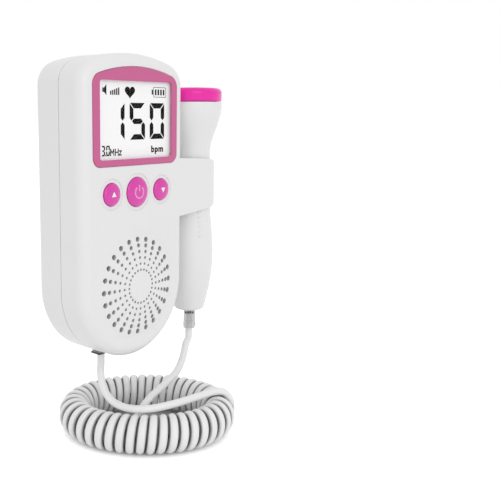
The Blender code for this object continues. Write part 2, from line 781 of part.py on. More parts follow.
def rear_shell(material):
    """The rear shell with its battery bay, screw posts and socket openings."""
    rings = rounded_shell_rings(0.0, REAR_ROUND, -1)
    rings.append(housing_ring(SEAM + GAP / 2, 0.0))
    shell = loft(rings)
    cavity = loft([
        housing_ring(-WALL, REAR_ROUND + INNER_ROUND),
        housing_ring(-REAR_ROUND - INNER_ROUND, WALL),
        housing_ring(SEAM - CUT, WALL),
    ])
    cut(shell, cavity)
    bay_side = BAY_HALF_WIDTH + BAY_WALL
    fuse(shell, box(-bay_side, bay_side, BAY_FLOOR - BAY_WALL, -WALL / 2, BAY_BOTTOM - BAY_WALL, BAY_TOP + BAY_WALL))
    for x, z in SCREW_PLACES:
        fuse(shell, cylinder_y(x, z, POST_RADIUS, SEAM + GAP / 2, -WALL / 2))
        cut(shell, screw_sink(x, z))
    ledge = -COVER_THICK - GAP
    side = COVER_HALF_WIDTH + GAP
    recess = rounded_box(-side, side, COVER_BOTTOM - GAP, COVER_TOP + GAP, COVER_CORNER + GAP)
    notch = cylinder_y(0.0, COVER_TOP, FINGER_NOTCH_RADIUS, -FINGER_NOTCH_DEPTH, CUT, PROBE_STEPS)
    cut(
        shell,
        box(-BAY_HALF_WIDTH, BAY_HALF_WIDTH, BAY_FLOOR, CUT, BAY_BOTTOM, BAY_TOP),
        prism_y(recess, ledge, CUT),
        notch,
        hook_slots(),
    )
    nose_x = PLUG_WIDTH / 2 + GAP + SOCKET_WALL + GAP
    nose_y = PLUG_THICK / 2 + GAP + SOCKET_WALL + GAP
    mouth = box(-nose_x, nose_x, SOCKET_Y - nose_y, SOCKET_Y + nose_y, -HALF_WIDTH - CUT, -SOCKET_SHOULDER + GAP)
    cut(shell, mouth, phone_shape(PHONE_BARREL_RADIUS + GAP, HALF_WIDTH - WALL - CUT, HALF_WIDTH + CUT))
    return finish(shell, "rear_shell", material)


def phone_shape(radius, start, stop, steps=POST_STEPS):
    """A round piece on the headphone socket's slanting axis, between two distances."""
    direction = (math.cos(PHONE_JACK_ANGLE), math.sin(PHONE_JACK_ANGLE))

    def place(across, up, along):
        x = along * direction[0] - across * direction[1]
        z = along * direction[1] + across * direction[0]
        return (x, PHONE_JACK_Y + up, z)

    return turned([(radius, start), (radius, stop)], steps, place)


def headphone_jack(material):
    """The headphone socket: a block inside the wall with a barrel through it."""
    mouth = HALF_WIDTH - PHONE_RECESS
    root_two = math.sqrt(2.0)
    body = phone_shape(PHONE_BODY_HALF * root_two, PHONE_BODY_START, PHONE_SHOULDER, 4)
    fuse(body, phone_shape(PHONE_BARREL_RADIUS, PHONE_SHOULDER - GAP, mouth))
    cut(body, phone_shape(PHONE_BORE_RADIUS, PHONE_SHOULDER - PHONE_BODY_LENGTH / 2, mouth + CUT, 8))
    return finish(body, "headphone_jack", material)


def battery_cover(material):
    """The battery cover with grip grooves and two hooks at its lower edge."""
    outline = rounded_box(-COVER_HALF_WIDTH, COVER_HALF_WIDTH, COVER_BOTTOM, COVER_TOP, COVER_CORNER)
    cover = prism_y(outline, -COVER_THICK, 0.0)
    grooves = []
    for i in range(COVER_GROOVES):
        z = COVER_TOP - FINGER_NOTCH_RADIUS - COVER_GROOVE_PITCH * i
        half = COVER_GROOVE_LENGTH / 2
        grooves.append(box(-half, half, -COVER_GROOVE_DEPTH, CUT, z - COVER_GROOVE_WIDTH, z))
    cut(cover, joined(grooves))
    for x in (-HOOK_X, HOOK_X):
        hook = [
            (-COVER_THICK, COVER_BOTTOM - HOOK_REACH),
            (-COVER_THICK - HOOK_THICK, COVER_BOTTOM - HOOK_REACH),
            (-COVER_THICK - HOOK_THICK, COVER_BOTTOM + HOOK_ROOT),
            (-COVER_THICK / 2, COVER_BOTTOM + HOOK_ROOT),
            (-COVER_THICK / 2, COVER_BOTTOM + GAP),
            (-COVER_THICK, COVER_BOTTOM + GAP),
        ]
        fuse(cover, prism_x(hook, x - HOOK_WIDTH / 2, x + HOOK_WIDTH / 2))
    finish(cover, "battery_cover", material)
    return set_origin(cover, (0.0, 0.0, COVER_BOTTOM))


def display_parts(materials):
    """The pink bezel, the clear window, the display panel and its backlight."""
    bezel = prism_y(bezel_outline(0.0), FRONT - BEZEL_PROUD, WINDOW_BACK)
    seat = view_outline(WINDOW_LAP + GAP, VIEW_CORNER)
    cut(
        bezel,
        prism_y(view_outline(0.0, VIEW_CORNER), FRONT - CUT, WINDOW_BACK + CUT),
        prism_y(seat, WINDOW_FRONT - GAP, WINDOW_BACK + CUT),
    )
    finish(bezel, "display_bezel", materials["bezel"])
    window = prism_y(view_outline(WINDOW_LAP, VIEW_CORNER), WINDOW_FRONT, WINDOW_BACK)
    finish(window, "display_window", materials["clear"])
    pane = view_outline(LCD_LAP, LCD_CORNER)
    panel = prism_y(pane, LCD_FRONT, LCD_FRONT + LCD_THICK)
    finish(panel, "lcd_panel", materials["lcd"])
    light = prism_y(pane, BACKLIGHT_FRONT, BACKLIGHT_FRONT + BACKLIGHT_THICK)
    finish(light, "backlight_panel", materials["lcd"])


def button_caps(material):
    """The three domed button caps, each with a flange behind the wall and a stem."""
    for name, x, radius in button_places():
        flange_front = INNER_FRONT + GAP
        flange_back = flange_front + BUTTON_FLANGE
        top = FRONT - BUTTON_PROUD
        profile = [
            (0.0, top),
            (radius * 0.45, top + BUTTON_PROUD * 0.07),
            (radius * 0.8, top + BUTTON_PROUD * 0.3),
            (radius * 0.96, top + BUTTON_PROUD * 0.68),
            (radius, FRONT + BUTTON_HALO_DEPTH),
            (radius, flange_front),
            (radius + BUTTON_FLANGE, flange_front),
            (radius + BUTTON_FLANGE, flange_back),
            (BUTTON_STEM_RADIUS, flange_back),
            (BUTTON_STEM_RADIUS, flange_back + BUTTON_STEM),
        ]
        cap = finish(turned(profile, PROBE_STEPS, along_y(x, BUTTON_Z)), name, material)
        set_origin(cap, (x, FRONT, BUTTON_Z))


def board_parts(materials):
    """The main board, its three button switches and its chips."""
    board = box(
        -BOARD_HALF_WIDTH, BOARD_HALF_WIDTH, BOARD_FRONT, BOARD_FRONT + BOARD_THICK, BOARD_BOTTOM, BOARD_TOP
    )
    finish(board, "main_board", materials["board"])
    stem_end = INNER_FRONT + GAP + BUTTON_FLANGE + BUTTON_STEM
    plunger_front = stem_end + BUTTON_TRAVEL + GAP
    body_front = plunger_front + SWITCH_PLUNGER
    half = SWITCH_WIDTH / 2
    for name, x, _ in button_places():
        body = box(x - half, x + half, body_front, BOARD_FRONT - GAP, BUTTON_Z - half, BUTTON_Z + half)
        plunger = cylinder_y(x, BUTTON_Z, BUTTON_STEM_RADIUS, plunger_front, body_front + SWITCH_PLUNGER, 8)
        finish(fuse(body, plunger), name.replace("button", "switch"), materials["black"])
    back = BOARD_FRONT - GAP
    for name, place_share, width_share in CHIP_SHARES:
        x, w = BOARD_HALF_WIDTH * place_share, BOARD_HALF_WIDTH * width_share
        chip = box(x - w, x + w, back - CHIP_THICK, back, CHIP_Z - w / 2, CHIP_Z + w / 2)
        finish(chip, name, materials["black"])


def speaker_parts(materials):
    """The loudspeaker: basket, cone and magnet."""
    rim_front = INNER_FRONT + GAP
    rim_back = rim_front + SPEAKER_RIM
    basket_back = rim_back + SPEAKER_BASKET
    lip = SPEAKER_RADIUS - SPEAKER_WALL * 1.5
    basket = turned(
        [
            (lip, rim_front),
            (SPEAKER_RADIUS, rim_front),
            (SPEAKER_RADIUS, rim_back),
            (SPEAKER_BASKET_RADIUS, basket_back),
        ],
        PROBE_STEPS,
        along_y(0.0, 0.0),
    )
    hollow = turned(
        [
            (lip - SPEAKER_WALL, rim_front - CUT),
            (lip - SPEAKER_WALL, rim_back - SPEAKER_WALL / 2),
            (SPEAKER_BASKET_RADIUS - SPEAKER_WALL, basket_back - SPEAKER_WALL),
        ],
        PROBE_STEPS,
        along_y(0.0, 0.0),
    )
    finish(cut(basket, hollow), "speaker_frame", materials["black"])
    edge = lip - SPEAKER_WALL - GAP
    inner = SPEAKER_BASKET_RADIUS * 0.5
    floor = basket_back - SPEAKER_WALL - 2 * GAP - CONE_THICK
    cone = turned(
        [
            (0.0, floor - CONE_THICK * 2),
            (inner * 0.7, floor - CONE_THICK),
            (inner, floor),
            (edge, rim_front + CONE_THICK / 2),
            (edge, rim_front + CONE_THICK),
            (inner, floor + CONE_THICK),
            (0.0, floor + CONE_THICK),
        ],
        PROBE_STEPS,
        along_y(0.0, 0.0),
    )
    finish(cone, "speaker_cone", materials["paper"])
    magnet_front = basket_back + GAP
    magnet = cylinder_y(0.0, 0.0, MAGNET_RADIUS, magnet_front, magnet_front + MAGNET_THICK, PROBE_STEPS)
    finish(magnet, "speaker_magnet", materials["ferrite"])


def battery_parts(materials):
    """Two AA cells, head to tail, and their contact plates with cone springs."""
    cell_top = CELL_BOTTOM + CELL_LENGTH + CELL_NUB
    half = CONTACT_SIZE / 2
    for hand, side in (("left", -1), ("right", 1)):
        x = side * CELL_X
        flat, tip = (CELL_BOTTOM, cell_top) if side < 0 else (cell_top, CELL_BOTTOM)
        shoulder = tip - CELL_NUB * math.copysign(1.0, tip - flat)
        profile = [(CELL_RADIUS, flat), (CELL_RADIUS, shoulder), (CELL_NUB_RADIUS, shoulder), (CELL_NUB_RADIUS, tip)]
        finish(turned(profile, CELL_STEPS, along_z(x, CELL_Y)), f"battery_{hand}", materials["cell"])
        for level, wall, inward, has_spring in (
            ("bottom", BAY_BOTTOM, 1, side < 0),
            ("top", BAY_TOP, -1, side > 0),
        ):
            start = wall + inward * GAP
            end = start + inward * CONTACT_PLATE
            plate = box(x - half, x + half, CELL_Y - half, CELL_Y + half, min(start, end), max(start, end))
            reach = CONTACT_SPACE - 2 * GAP
            wide, narrow = (half * 0.8, half * 0.5) if has_spring else (half * 0.4, half * 0.3)
            bump = [(wide, end - inward * CONTACT_PLATE / 2), (narrow, wall + inward * reach)]
            fuse(plate, turned(bump, POST_STEPS, along_z(x, CELL_Y)))
            finish(plate, f"contact_{hand}_{level}", materials["steel"])


def case_screws(material):
    """The four screws that hold the shells together."""
    for number, (x, z) in enumerate(SCREW_PLACES, start=1):
        head = -SCREW_SINK
        profile = [
            (SCREW_HEAD_RADIUS, head),
            (SCREW_HEAD_RADIUS, head - SCREW_HEAD),
            (SCREW_RADIUS, head - SCREW_HEAD),
            (SCREW_RADIUS, SEAM - SCREW_BITE),
        ]
        screw = turned(profile, POST_STEPS, along_y(x, z))
        slot = SCREW_HEAD_RADIUS * 0.7
        width = SCREW_RADIUS * 0.3
        depth = head - SCREW_HEAD / 2
        cross = [
            box(x - slot, x + slot, depth, head + CUT, z - width, z + width),
            box(x - width, x + width, depth, head + CUT, z - slot, z + slot),
        ]
        finish(cut(screw, *cross), f"case_screw_{number}", material)


def cord_socket(material):
    """The modular socket in the underside that takes the cord's plug."""
    half_x = SOCKET_HALF_WIDTH - SOCKET_BODY_EXTRA
    half_y = PLUG_THICK / 2 + GAP + SOCKET_WALL
    low, high = SOCKET_Y - half_y, SOCKET_Y + half_y
    body = box(-SOCKET_HALF_WIDTH, SOCKET_HALF_WIDTH, low, high, -SOCKET_SHOULDER + 2 * GAP, -SOCKET_TOP)
    nose = box(-half_x, half_x, low, high, -SOCKET_NOSE_DROP, -SOCKET_SHOULDER + 3 * GAP)
    fuse(body, nose)
    hole_x, hole_y = PLUG_WIDTH / 2 + GAP, PLUG_THICK / 2 + GAP
    depth = -SOCKET_NOSE_DROP + PLUG_INSERTED + GAP
    cut(body, box(-hole_x, hole_x, SOCKET_Y - hole_y, SOCKET_Y + hole_y, -SOCKET_NOSE_DROP - CUT, depth))
    return finish(body, "cord_socket", material)


def modular_plug(name, shows, mouth, frame, material):
    """A modular plug hanging out of a socket, with its latch on the +Y side.

    It is built about the Z axis with the socket's mouth at zero, and the frame
    turns and moves it to its socket.
    """
    outline = rounded_box(-PLUG_WIDTH / 2, PLUG_WIDTH / 2, -PLUG_THICK / 2, PLUG_THICK / 2, PLUG_EDGE, 1)
    body = prism_z(outline, -shows, PLUG_INSERTED)
    face = PLUG_THICK / 2
    root = -LATCH_ROOT_DROP
    end = -shows + LATCH_END_LIFT
    latch = [
        (face - LATCH_THICK, root),
        (face + GAP, root),
        (face + LATCH_SPREAD, end),
        (face + LATCH_SPREAD - LATCH_THICK, end),
        (face + GAP, root - LATCH_THICK * 2),
        (face - LATCH_THICK, root - LATCH_THICK * 2),
    ]
    fuse(body, prism_x(latch, -LATCH_WIDTH / 2, LATCH_WIDTH / 2))
    body.data.transform(Matrix.Translation((0, 0, mouth)))
    body.data.transform(frame)
    return finish(body, name, material)


def smooth_step(share):
    """A curve from zero to one that starts and ends level."""
    share = min(max(share, 0.0), 1.0)
    return share * share * (3 - 2 * share)


def probe_radius(z):
    """Outer radius of the probe's body at a height: tail, swell, waist and flare."""
    if z >= FLARE_BOTTOM:
        share = (z - FLARE_BOTTOM) / (FLARE_TOP - FLARE_BOTTOM)
        return WAIST_RADIUS + (HEAD_RADIUS - WAIST_RADIUS) * smooth_step(share)
    if z >= SWELL_START:
        return WAIST_RADIUS
    if z >= SWELL_PEAK:
        share = (SWELL_START - z) / (SWELL_START - SWELL_PEAK)
        return WAIST_RADIUS + (SWELL_RADIUS - WAIST_RADIUS) * smooth_step(share)
    share = (SWELL_PEAK - z) / (SWELL_PEAK - PROBE_BOTTOM)
    return SWELL_RADIUS - (SWELL_RADIUS - TAIL_RADIUS) * share**TAIL_POWER


def spread(low, high, steps):
    """Evenly spaced values, both ends included."""
    return [low + (high - low) * i / steps for i in range(steps + 1)]


def probe_heights():
    """Heights where the probe's profile has its points."""
    top = RING_BOTTOM - GAP
    return (
        spread(PROBE_BOTTOM + TAIL_ROUND, SWELL_PEAK, 6)
        + spread(SWELL_PEAK, SWELL_START, 6)[1:]
        + [FLARE_BOTTOM]
        + spread(FLARE_BOTTOM, FLARE_TOP, 7)[1:]
        + [top]
    )


def probe_body(material):
    """The probe's hollow white body with its tail socket opening and grip dashes."""
    heights = probe_heights()
    tail = probe_radius(PROBE_BOTTOM + TAIL_ROUND)
    profile = [(tail - TAIL_ROUND, PROBE_BOTTOM), (tail - TAIL_ROUND * 0.3, PROBE_BOTTOM + TAIL_ROUND * 0.3)]
    profile += [(probe_radius(z), z) for z in heights]
    place = along_z(PROBE_X, PROBE_Y)
    body = turned(profile, PROBE_STEPS, place)
    inner = [(probe_radius(z) - PROBE_WALL, z) for z in heights[1::2] if z > PROBE_FLOOR + PROBE_WALL]
    inner = [(probe_radius(PROBE_FLOOR) - PROBE_WALL, PROBE_FLOOR)] + inner
    inner.append((inner[-1][0], RING_BOTTOM + CUT))
    cut(body, turned(inner, PROBE_STEPS, place))
    half_x = PLUG_WIDTH / 2 + 2 * GAP + SOCKET_WALL
    half_y = PLUG_THICK / 2 + 2 * GAP + SOCKET_WALL
    pocket = box(-half_x, half_x, -half_y, half_y, PROBE_BOTTOM - CUT, PROBE_FLOOR + CUT)
    pocket.data.transform(probe_plug_frame())
    cut(body, pocket)
    dashes = []
    for i in range(GRIP_DASHES):
        z = GRIP_TOP - GRIP_PITCH * i - GRIP_PITCH
        reach = probe_radius(z) + GRIP_PROUD
        dash = box(reach - PROBE_WALL / 2, reach, -GRIP_WIDTH / 2, GRIP_WIDTH / 2, z - GRIP_HEIGHT, z)
        dash.data.transform(Matrix.Translation(PROBE_AXIS) @ Matrix.Rotation(GRIP_ANGLE, 4, "Z"))
        dashes.append(dash)
    fuse(body, joined(dashes))
    return finish(body, "probe_body", material)


def probe_frame():
    """Turns and moves a piece from the Z axis to the probe's axis."""
    return Matrix.Translation(PROBE_AXIS) @ Matrix.Rotation(PROBE_ROLL, 4, "Z")


def probe_plug_frame():
    """Turns and moves the probe's plug and socket, so that the latch faces the viewer's right."""
    return probe_frame() @ Matrix.Rotation(-math.pi / 2, 4, "Z")


def probe_parts(materials):
    """The probe's head ring, acoustic face, crystals, holder, board and socket."""
    place = along_z(PROBE_X, PROBE_Y)
    bore = HEAD_RADIUS - RING_FLANGE
    spigot = HEAD_RADIUS - PROBE_WALL - GAP
    corner = arc((HEAD_RADIUS - RING_ROUND, HEAD_TOP - RING_ROUND), RING_ROUND, 0.0, math.pi / 2, ROUND_STEPS)
    ring = turned(
        [(spigot, RING_BOTTOM - RING_SPIGOT), (spigot, RING_BOTTOM), (HEAD_RADIUS, RING_BOTTOM)] + corner,
        PROBE_STEPS,
        place,
    )
    seat_bottom = HEAD_TOP - FACE_THICK - GAP
    hollow = turned(
        [
            (bore - FACE_SEAT, RING_BOTTOM - RING_SPIGOT - CUT),
            (bore - FACE_SEAT, seat_bottom),
            (bore, seat_bottom),
            (bore, HEAD_TOP + CUT),
        ],
        PROBE_STEPS,
        place,
    )
    finish(cut(ring, hollow), "probe_ring", materials["magenta"])
    face_radius = bore - GAP
    face_bottom = seat_bottom + GAP
    face = turned(
        [
            (face_radius, face_bottom),
            (face_radius, HEAD_TOP),
            (face_radius * 0.6, HEAD_TOP + FACE_PROUD),
        ],
        PROBE_STEPS,
        place,
    )
    finish(face, "probe_face", materials["face"])
    crystal_radius = bore - CRYSTAL_MARGIN
    for name, side in (("transmit_crystal", -1), ("receive_crystal", 1)):
        disc = [(crystal_radius, face_bottom - GAP - CRYSTAL_THICK), (crystal_radius, face_bottom - GAP)]
        crystal = turned(disc, PROBE_STEPS, place)
        edges = sorted((side * CRYSTAL_SPLIT / 2, -side * HEAD_RADIUS))
        other_half = box(*edges, -HEAD_RADIUS, HEAD_RADIUS, RING_BOTTOM, HEAD_TOP)
        other_half.data.transform(probe_frame())
        finish(cut(crystal, other_half), name, materials["crystal"])
    holder_top = face_bottom - 2 * GAP - CRYSTAL_THICK
    holder = turned(
        [(crystal_radius, holder_top - HOLDER_THICK), (crystal_radius, holder_top)], PROBE_STEPS, place
    )
    finish(holder, "crystal_holder", materials["black"])
    board = box(
        -PROBE_BOARD_HALF_WIDTH,
        PROBE_BOARD_HALF_WIDTH,
        -PROBE_BOARD_THICK / 2,
        PROBE_BOARD_THICK / 2,
        PROBE_BOARD_BOTTOM,
        holder_top - HOLDER_THICK - GAP,
    )
    board.data.transform(probe_frame())
    finish(board, "probe_board", materials["board"])
    half_x = PLUG_WIDTH / 2 + GAP + SOCKET_WALL
    half_y = PLUG_THICK / 2 + GAP + SOCKET_WALL
    top = PROBE_BOTTOM + PLUG_INSERTED + GAP + SOCKET_BACK
    socket = box(-half_x, half_x, -half_y, half_y, PROBE_BOTTOM + GAP, top)
    hole = box(
        -half_x + SOCKET_WALL, half_x - SOCKET_WALL, -half_y + SOCKET_WALL, half_y - SOCKET_WALL,
        PROBE_BOTTOM - CUT, top - SOCKET_BACK,
    )
    cut(socket, hole)
    socket.data.transform(probe_plug_frame())
    finish(socket, "probe_socket", materials["black"])


def in_ring(across, depth, height):
    """A point in the cord ring's own frame, placed in the model."""
    return RING_CENTRE + RING_ACROSS * across + RING_DEPTH * depth + Vector((0, 0, height))


def ring_frame(angle):
    """Point of the ring's oval centreline at an angle, and its outward direction."""
    centre = in_ring(RING_LONG * math.cos(angle), RING_SHORT * math.sin(angle), 0)
    outward = RING_ACROSS * (math.cos(angle) / RING_LONG) + RING_DEPTH * (math.sin(angle) / RING_SHORT)
    return centre, outward.normalized()


def curl_angles(count):
    """Angles round the ring, going clockwise from above, spaced evenly inside the curls."""
    sweep = 2 * math.pi - RING_GAP_ANGLE
    angles = -np.linspace(0.0, sweep, 2000)
    inner = []
    for angle in angles:
        centre, outward = ring_frame(float(angle))
        inner.append(centre - outward * CURL_OUT)
    lengths = [0.0]
    for low, high in zip(inner, inner[1:]):
        lengths.append(lengths[-1] + (high - low).length)
    return np.interp(np.linspace(0.0, lengths[-1], count), lengths, angles)


def coil_points():
    """Centreline of the curls: down the outside at one end, in along the floor at the other."""
    steps = round(CURL_COUNT * CURL_POINTS)
    angles = curl_angles(steps + 1)
    points = []
    for i, angle in enumerate(angles):
        centre, outward = ring_frame(float(angle))
        turn = -2 * math.pi * CURL_COUNT * i / steps
        points.append(centre + outward * (CURL_OUT * math.cos(turn)) + Vector((0, 0, CURL_UP * math.sin(turn))))
    _, last_outward = ring_frame(float(angles[-1]))
    start = points[0] + Vector((0, 0, COIL_HEAD))
    end = points[-1] - last_outward * COIL_TAIL
    return [start] + points + [end]


def catmull(padded, step):
    """A smooth curve through all points but the first and the last, read off at even steps."""
    dense = []
    for p0, p1, p2, p3 in zip(padded, padded[1:], padded[2:], padded[3:]):
        knots = [0.0]
        for low, high in ((p0, p1), (p1, p2), (p2, p3)):
            knots.append(knots[-1] + math.sqrt((high - low).length))
        t0, t1, t2, t3 = knots
        for i in range(24):
            t = t1 + (t2 - t1) * i / 24
            a1 = p0 * ((t1 - t) / (t1 - t0)) + p1 * ((t - t0) / (t1 - t0))
            a2 = p1 * ((t2 - t) / (t2 - t1)) + p2 * ((t - t1) / (t2 - t1))
            a3 = p2 * ((t3 - t) / (t3 - t2)) + p3 * ((t - t2) / (t3 - t2))
            b1 = a1 * ((t2 - t) / (t2 - t0)) + a2 * ((t - t0) / (t2 - t0))
            b2 = a2 * ((t3 - t) / (t3 - t1)) + a3 * ((t - t1) / (t3 - t1))
            dense.append(b1 * ((t2 - t) / (t2 - t1)) + b2 * ((t - t1) / (t2 - t1)))
    dense.append(padded[-2])
    lengths = [0.0]
    for low, high in zip(dense, dense[1:]):
        lengths.append(lengths[-1] + (high - low).length)
    count = max(2, round(lengths[-1] / step))
    marks = np.linspace(0.0, lengths[-1], count + 1)
    columns = [np.interp(marks, lengths, [point[axis] for point in dense]) for axis in range(3)]
    return [Vector(row) for row in zip(*columns)]


def lead_points(start, route, end, end_direction, straight):
    """A plain lead's centreline: straight down out of its plug, then straight into the coil's end."""
    down = Vector((0, 0, -1))
    points = [start, start + down * LEAD_STRAIGHT]
    points += [in_ring(*place) for place in route]
    points += [end - end_direction * straight, end]
    return [start] + catmull(points, LEAD_STEP) + [end]


def tube(name, points, resolution, material):
    """A round tube along points: a curve with a bevel and filled caps."""
    curve = bpy.data.curves.new(name, "CURVE")
    curve.dimensions = "3D"
    curve.bevel_depth = CORD_RADIUS
    curve.bevel_resolution = resolution
    curve.use_fill_caps = True
    spline = curve.splines.new("POLY")
    spline.points.add(len(points) - 1)
    for place, point in zip(spline.points, points):
        place.co = (*point, 1.0)
    spline.use_smooth = True
    curve.materials.append(material)
    item = bpy.data.objects.new(name, curve)
    bpy.context.collection.objects.link(item)
    return item


def path_length(points):
    """Length along a row of points."""
    return sum((high - low).length for low, high in zip(points, points[1:]))


def least_gap(points):
    """Least distance between turns of a tube, measured between its centreline's points."""
    places = np.array([tuple(point) for point in points])
    skip = CURL_POINTS // 2 + 1
    least = min(
        float(np.linalg.norm(places[i + skip:] - places[i], axis=1).min()) for i in range(len(places) - skip)
    )
    return least - 2 * CORD_RADIUS


def cord_parts(materials):
    """The curly coil, the two plain leads and the two plugs."""
    coil = coil_points()
    tube("curly_coil", coil, 1, materials["cord"])
    unit_start = Vector((0, SOCKET_Y, -SOCKET_NOSE_DROP - UNIT_PLUG_SHOWS - GAP))
    probe_start = Vector((PROBE_X, PROBE_Y, PROBE_BOTTOM - PROBE_PLUG_SHOWS - GAP))
    first = (coil[1] - coil[0]).normalized()
    last = (coil[-2] - coil[-1]).normalized()
    unit_lead = lead_points(unit_start, UNIT_LEAD_ROUTE, coil[0] - first * GAP, first, UNIT_LEAD_DROP)
    probe_lead = lead_points(probe_start, PROBE_LEAD_ROUTE, coil[-1] - last * GAP, last, LEAD_STRAIGHT)
    tube("unit_lead", unit_lead, 2, materials["cord"])
    tube("probe_lead", probe_lead, 2, materials["cord"])
    unit_frame = Matrix.Translation((0, SOCKET_Y, 0)) @ Matrix.Rotation(math.pi, 4, "Z")
    modular_plug("unit_plug", UNIT_PLUG_SHOWS, -SOCKET_NOSE_DROP, unit_frame, materials["clear"])
    modular_plug("probe_plug", PROBE_PLUG_SHOWS, PROBE_BOTTOM, probe_plug_frame(), materials["clear"])
    total = path_length(coil) + path_length(unit_lead) + path_length(probe_lead)
    print(f"cord length {total:.3f} m, least gap between curls {least_gap(coil) / MM:.2f} mm")


def main():
    """Build every piece of the monitor."""
    clear_scene()
    materials = {
        "shell": plastic("shell_white", WHITE, 0.42),
        "bezel": plastic("bezel_pink", PINK, 0.3),
        "magenta": plastic("button_magenta", MAGENTA, 0.28),
        "clear": plastic("clear_plastic", CLEAR, 0.1, alpha=0.4),
        "lcd": plastic("display_grey", LCD_GREY, 0.3),
        "board": plastic("board_green", BOARD_GREEN, 0.5),
        "black": plastic("black_plastic", BLACK, 0.5),
        "steel": plastic("steel", STEEL, 0.3, 1.0),
        "paper": plastic("cone_paper", PAPER, 0.8),
        "ferrite": plastic("ferrite", FERRITE, 0.6),
        "cell": plastic("cell_wrap", CELL_WRAP, 0.35),
        "crystal": plastic("crystal", CRYSTAL, 0.4),
        "face": plastic("acoustic_face", FACE_GREY, 0.35),
        "cord": plastic("cord_white", CORD_WHITE, 0.5),
    }
    front_shell(materials["shell"])
    rear_shell(materials["shell"])
    battery_cover(materials["shell"])
    display_parts(materials)
    button_caps(materials["magenta"])
    board_parts(materials)
    speaker_parts(materials)
    battery_parts(materials)
    case_screws(materials["steel"])
    cord_socket(materials["black"])
    headphone_jack(materials["black"])
    probe_body(materials["shell"])
    probe_parts(materials)
    cord_parts(materials)
    probe_axis = bpy.data.objects.new("probe_axis", None)
    probe_axis.location = PROBE_AXIS
    bpy.context.collection.objects.link(probe_axis)
    hang_on(probe_axis, *[bpy.data.objects[name] for name in PROBE_PIECES])


main()
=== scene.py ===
"""The looks of a hand-held fetal doppler monitor with a clip-on probe on a curly cord.

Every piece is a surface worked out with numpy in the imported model's own frame: metres,
+Z up, the front towards -Y, the origin on the flat back level with the grille's centre.
"""

from __future__ import annotations

import logging
import math
from collections.abc import Callable
from dataclasses import dataclass
from enum import Enum
from functools import cache

import bmesh
import bpy
import numpy as np
from mathutils import Matrix, Vector

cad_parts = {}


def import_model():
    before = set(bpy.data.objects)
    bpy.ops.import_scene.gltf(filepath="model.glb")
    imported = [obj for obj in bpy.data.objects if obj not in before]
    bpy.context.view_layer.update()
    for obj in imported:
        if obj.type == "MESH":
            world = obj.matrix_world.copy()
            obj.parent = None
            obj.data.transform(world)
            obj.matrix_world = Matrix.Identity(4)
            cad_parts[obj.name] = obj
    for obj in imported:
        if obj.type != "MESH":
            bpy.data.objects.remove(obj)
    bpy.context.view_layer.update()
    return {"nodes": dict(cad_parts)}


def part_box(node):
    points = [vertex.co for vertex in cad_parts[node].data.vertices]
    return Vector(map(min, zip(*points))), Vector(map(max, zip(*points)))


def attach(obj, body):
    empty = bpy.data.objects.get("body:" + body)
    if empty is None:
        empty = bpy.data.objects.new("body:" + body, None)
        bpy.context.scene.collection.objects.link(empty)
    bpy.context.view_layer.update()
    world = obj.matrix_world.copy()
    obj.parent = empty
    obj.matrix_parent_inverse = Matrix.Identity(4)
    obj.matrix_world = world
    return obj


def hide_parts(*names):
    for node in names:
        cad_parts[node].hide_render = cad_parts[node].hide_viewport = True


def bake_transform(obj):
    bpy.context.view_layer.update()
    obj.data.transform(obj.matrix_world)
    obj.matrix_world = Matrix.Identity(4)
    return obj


log = logging.getLogger("doppler")

MM = 0.001
GAP = 0.3 * MM
CUT = 2.0 * MM
TAU = 2.0 * math.pi
QUARTER = math.pi / 2.0


class Axis(Enum):
    """The direction that a prism's or a turned piece's axis runs in."""

    ACROSS = "along X"
    BACK = "along Y"
    UP = "along Z"


class Body(Enum):
    """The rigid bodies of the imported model."""

    HOUSING = "housing"
    PROBE = "probe"
    POWER = "power_key"
    UP = "volume_up_key"
    DOWN = "volume_down_key"
    COVER = "cover"


class Cut(Enum):
    """How one solid changes another."""

    AWAY = "DIFFERENCE"
    TOGETHER = "UNION"


# Shapes in a plane


def arc(centre: tuple[float, float], radius: float, start: float, stop: float, steps: int) -> np.ndarray:
    """Points of a circle's arc: centre plus radius times (cos a, sin a) for even angles.

    Args:
        centre: The circle's centre.
        radius: Its radius.
        start: First angle in radians.
        stop: Last angle in radians.
        steps: Number of equal steps.

    Returns:
        An array of steps + 1 points.
    """
    angle = np.linspace(start, stop, steps + 1)
    return np.stack([centre[0] + radius * np.cos(angle), centre[1] + radius * np.sin(angle)], axis=1)


def rounded_box(left: float, right: float, low: float, high: float, radius: float, steps: int = 8) -> np.ndarray:
    """Outline of a rectangle whose corners are quarter circles.

    Args:
        left: Left edge.
        right: Right edge.
        low: Lower edge.
        high: Upper edge.
        radius: Radius of the corners.
        steps: Steps in each corner.

    Returns:
        An array of points, counter-clockwise from the right side's top.
    """
    return np.concatenate([
        arc((right - radius, high - radius), radius, 0.0, QUARTER, steps),
        arc((left + radius, high - radius), radius, QUARTER, 2 * QUARTER, steps),
        arc((left + radius, low + radius), radius, 2 * QUARTER, 3 * QUARTER, steps),
        arc((right - radius, low + radius), radius, 3 * QUARTER, 4 * QUARTER, steps),
    ])


def lengths_along(points: np.ndarray) -> np.ndarray:
    """How far along a line of points each of them lies."""
    return np.concatenate([[0.0], np.cumsum(np.linalg.norm(np.diff(points, axis=0), axis=1))])


def read_off(points: np.ndarray, lengths: np.ndarray, marks: np.ndarray) -> np.ndarray:
    """The places at some marks on a line of points that lie at given lengths."""
    return np.stack([np.interp(marks, lengths, points[:, axis]) for axis in range(points.shape[1])], axis=1)


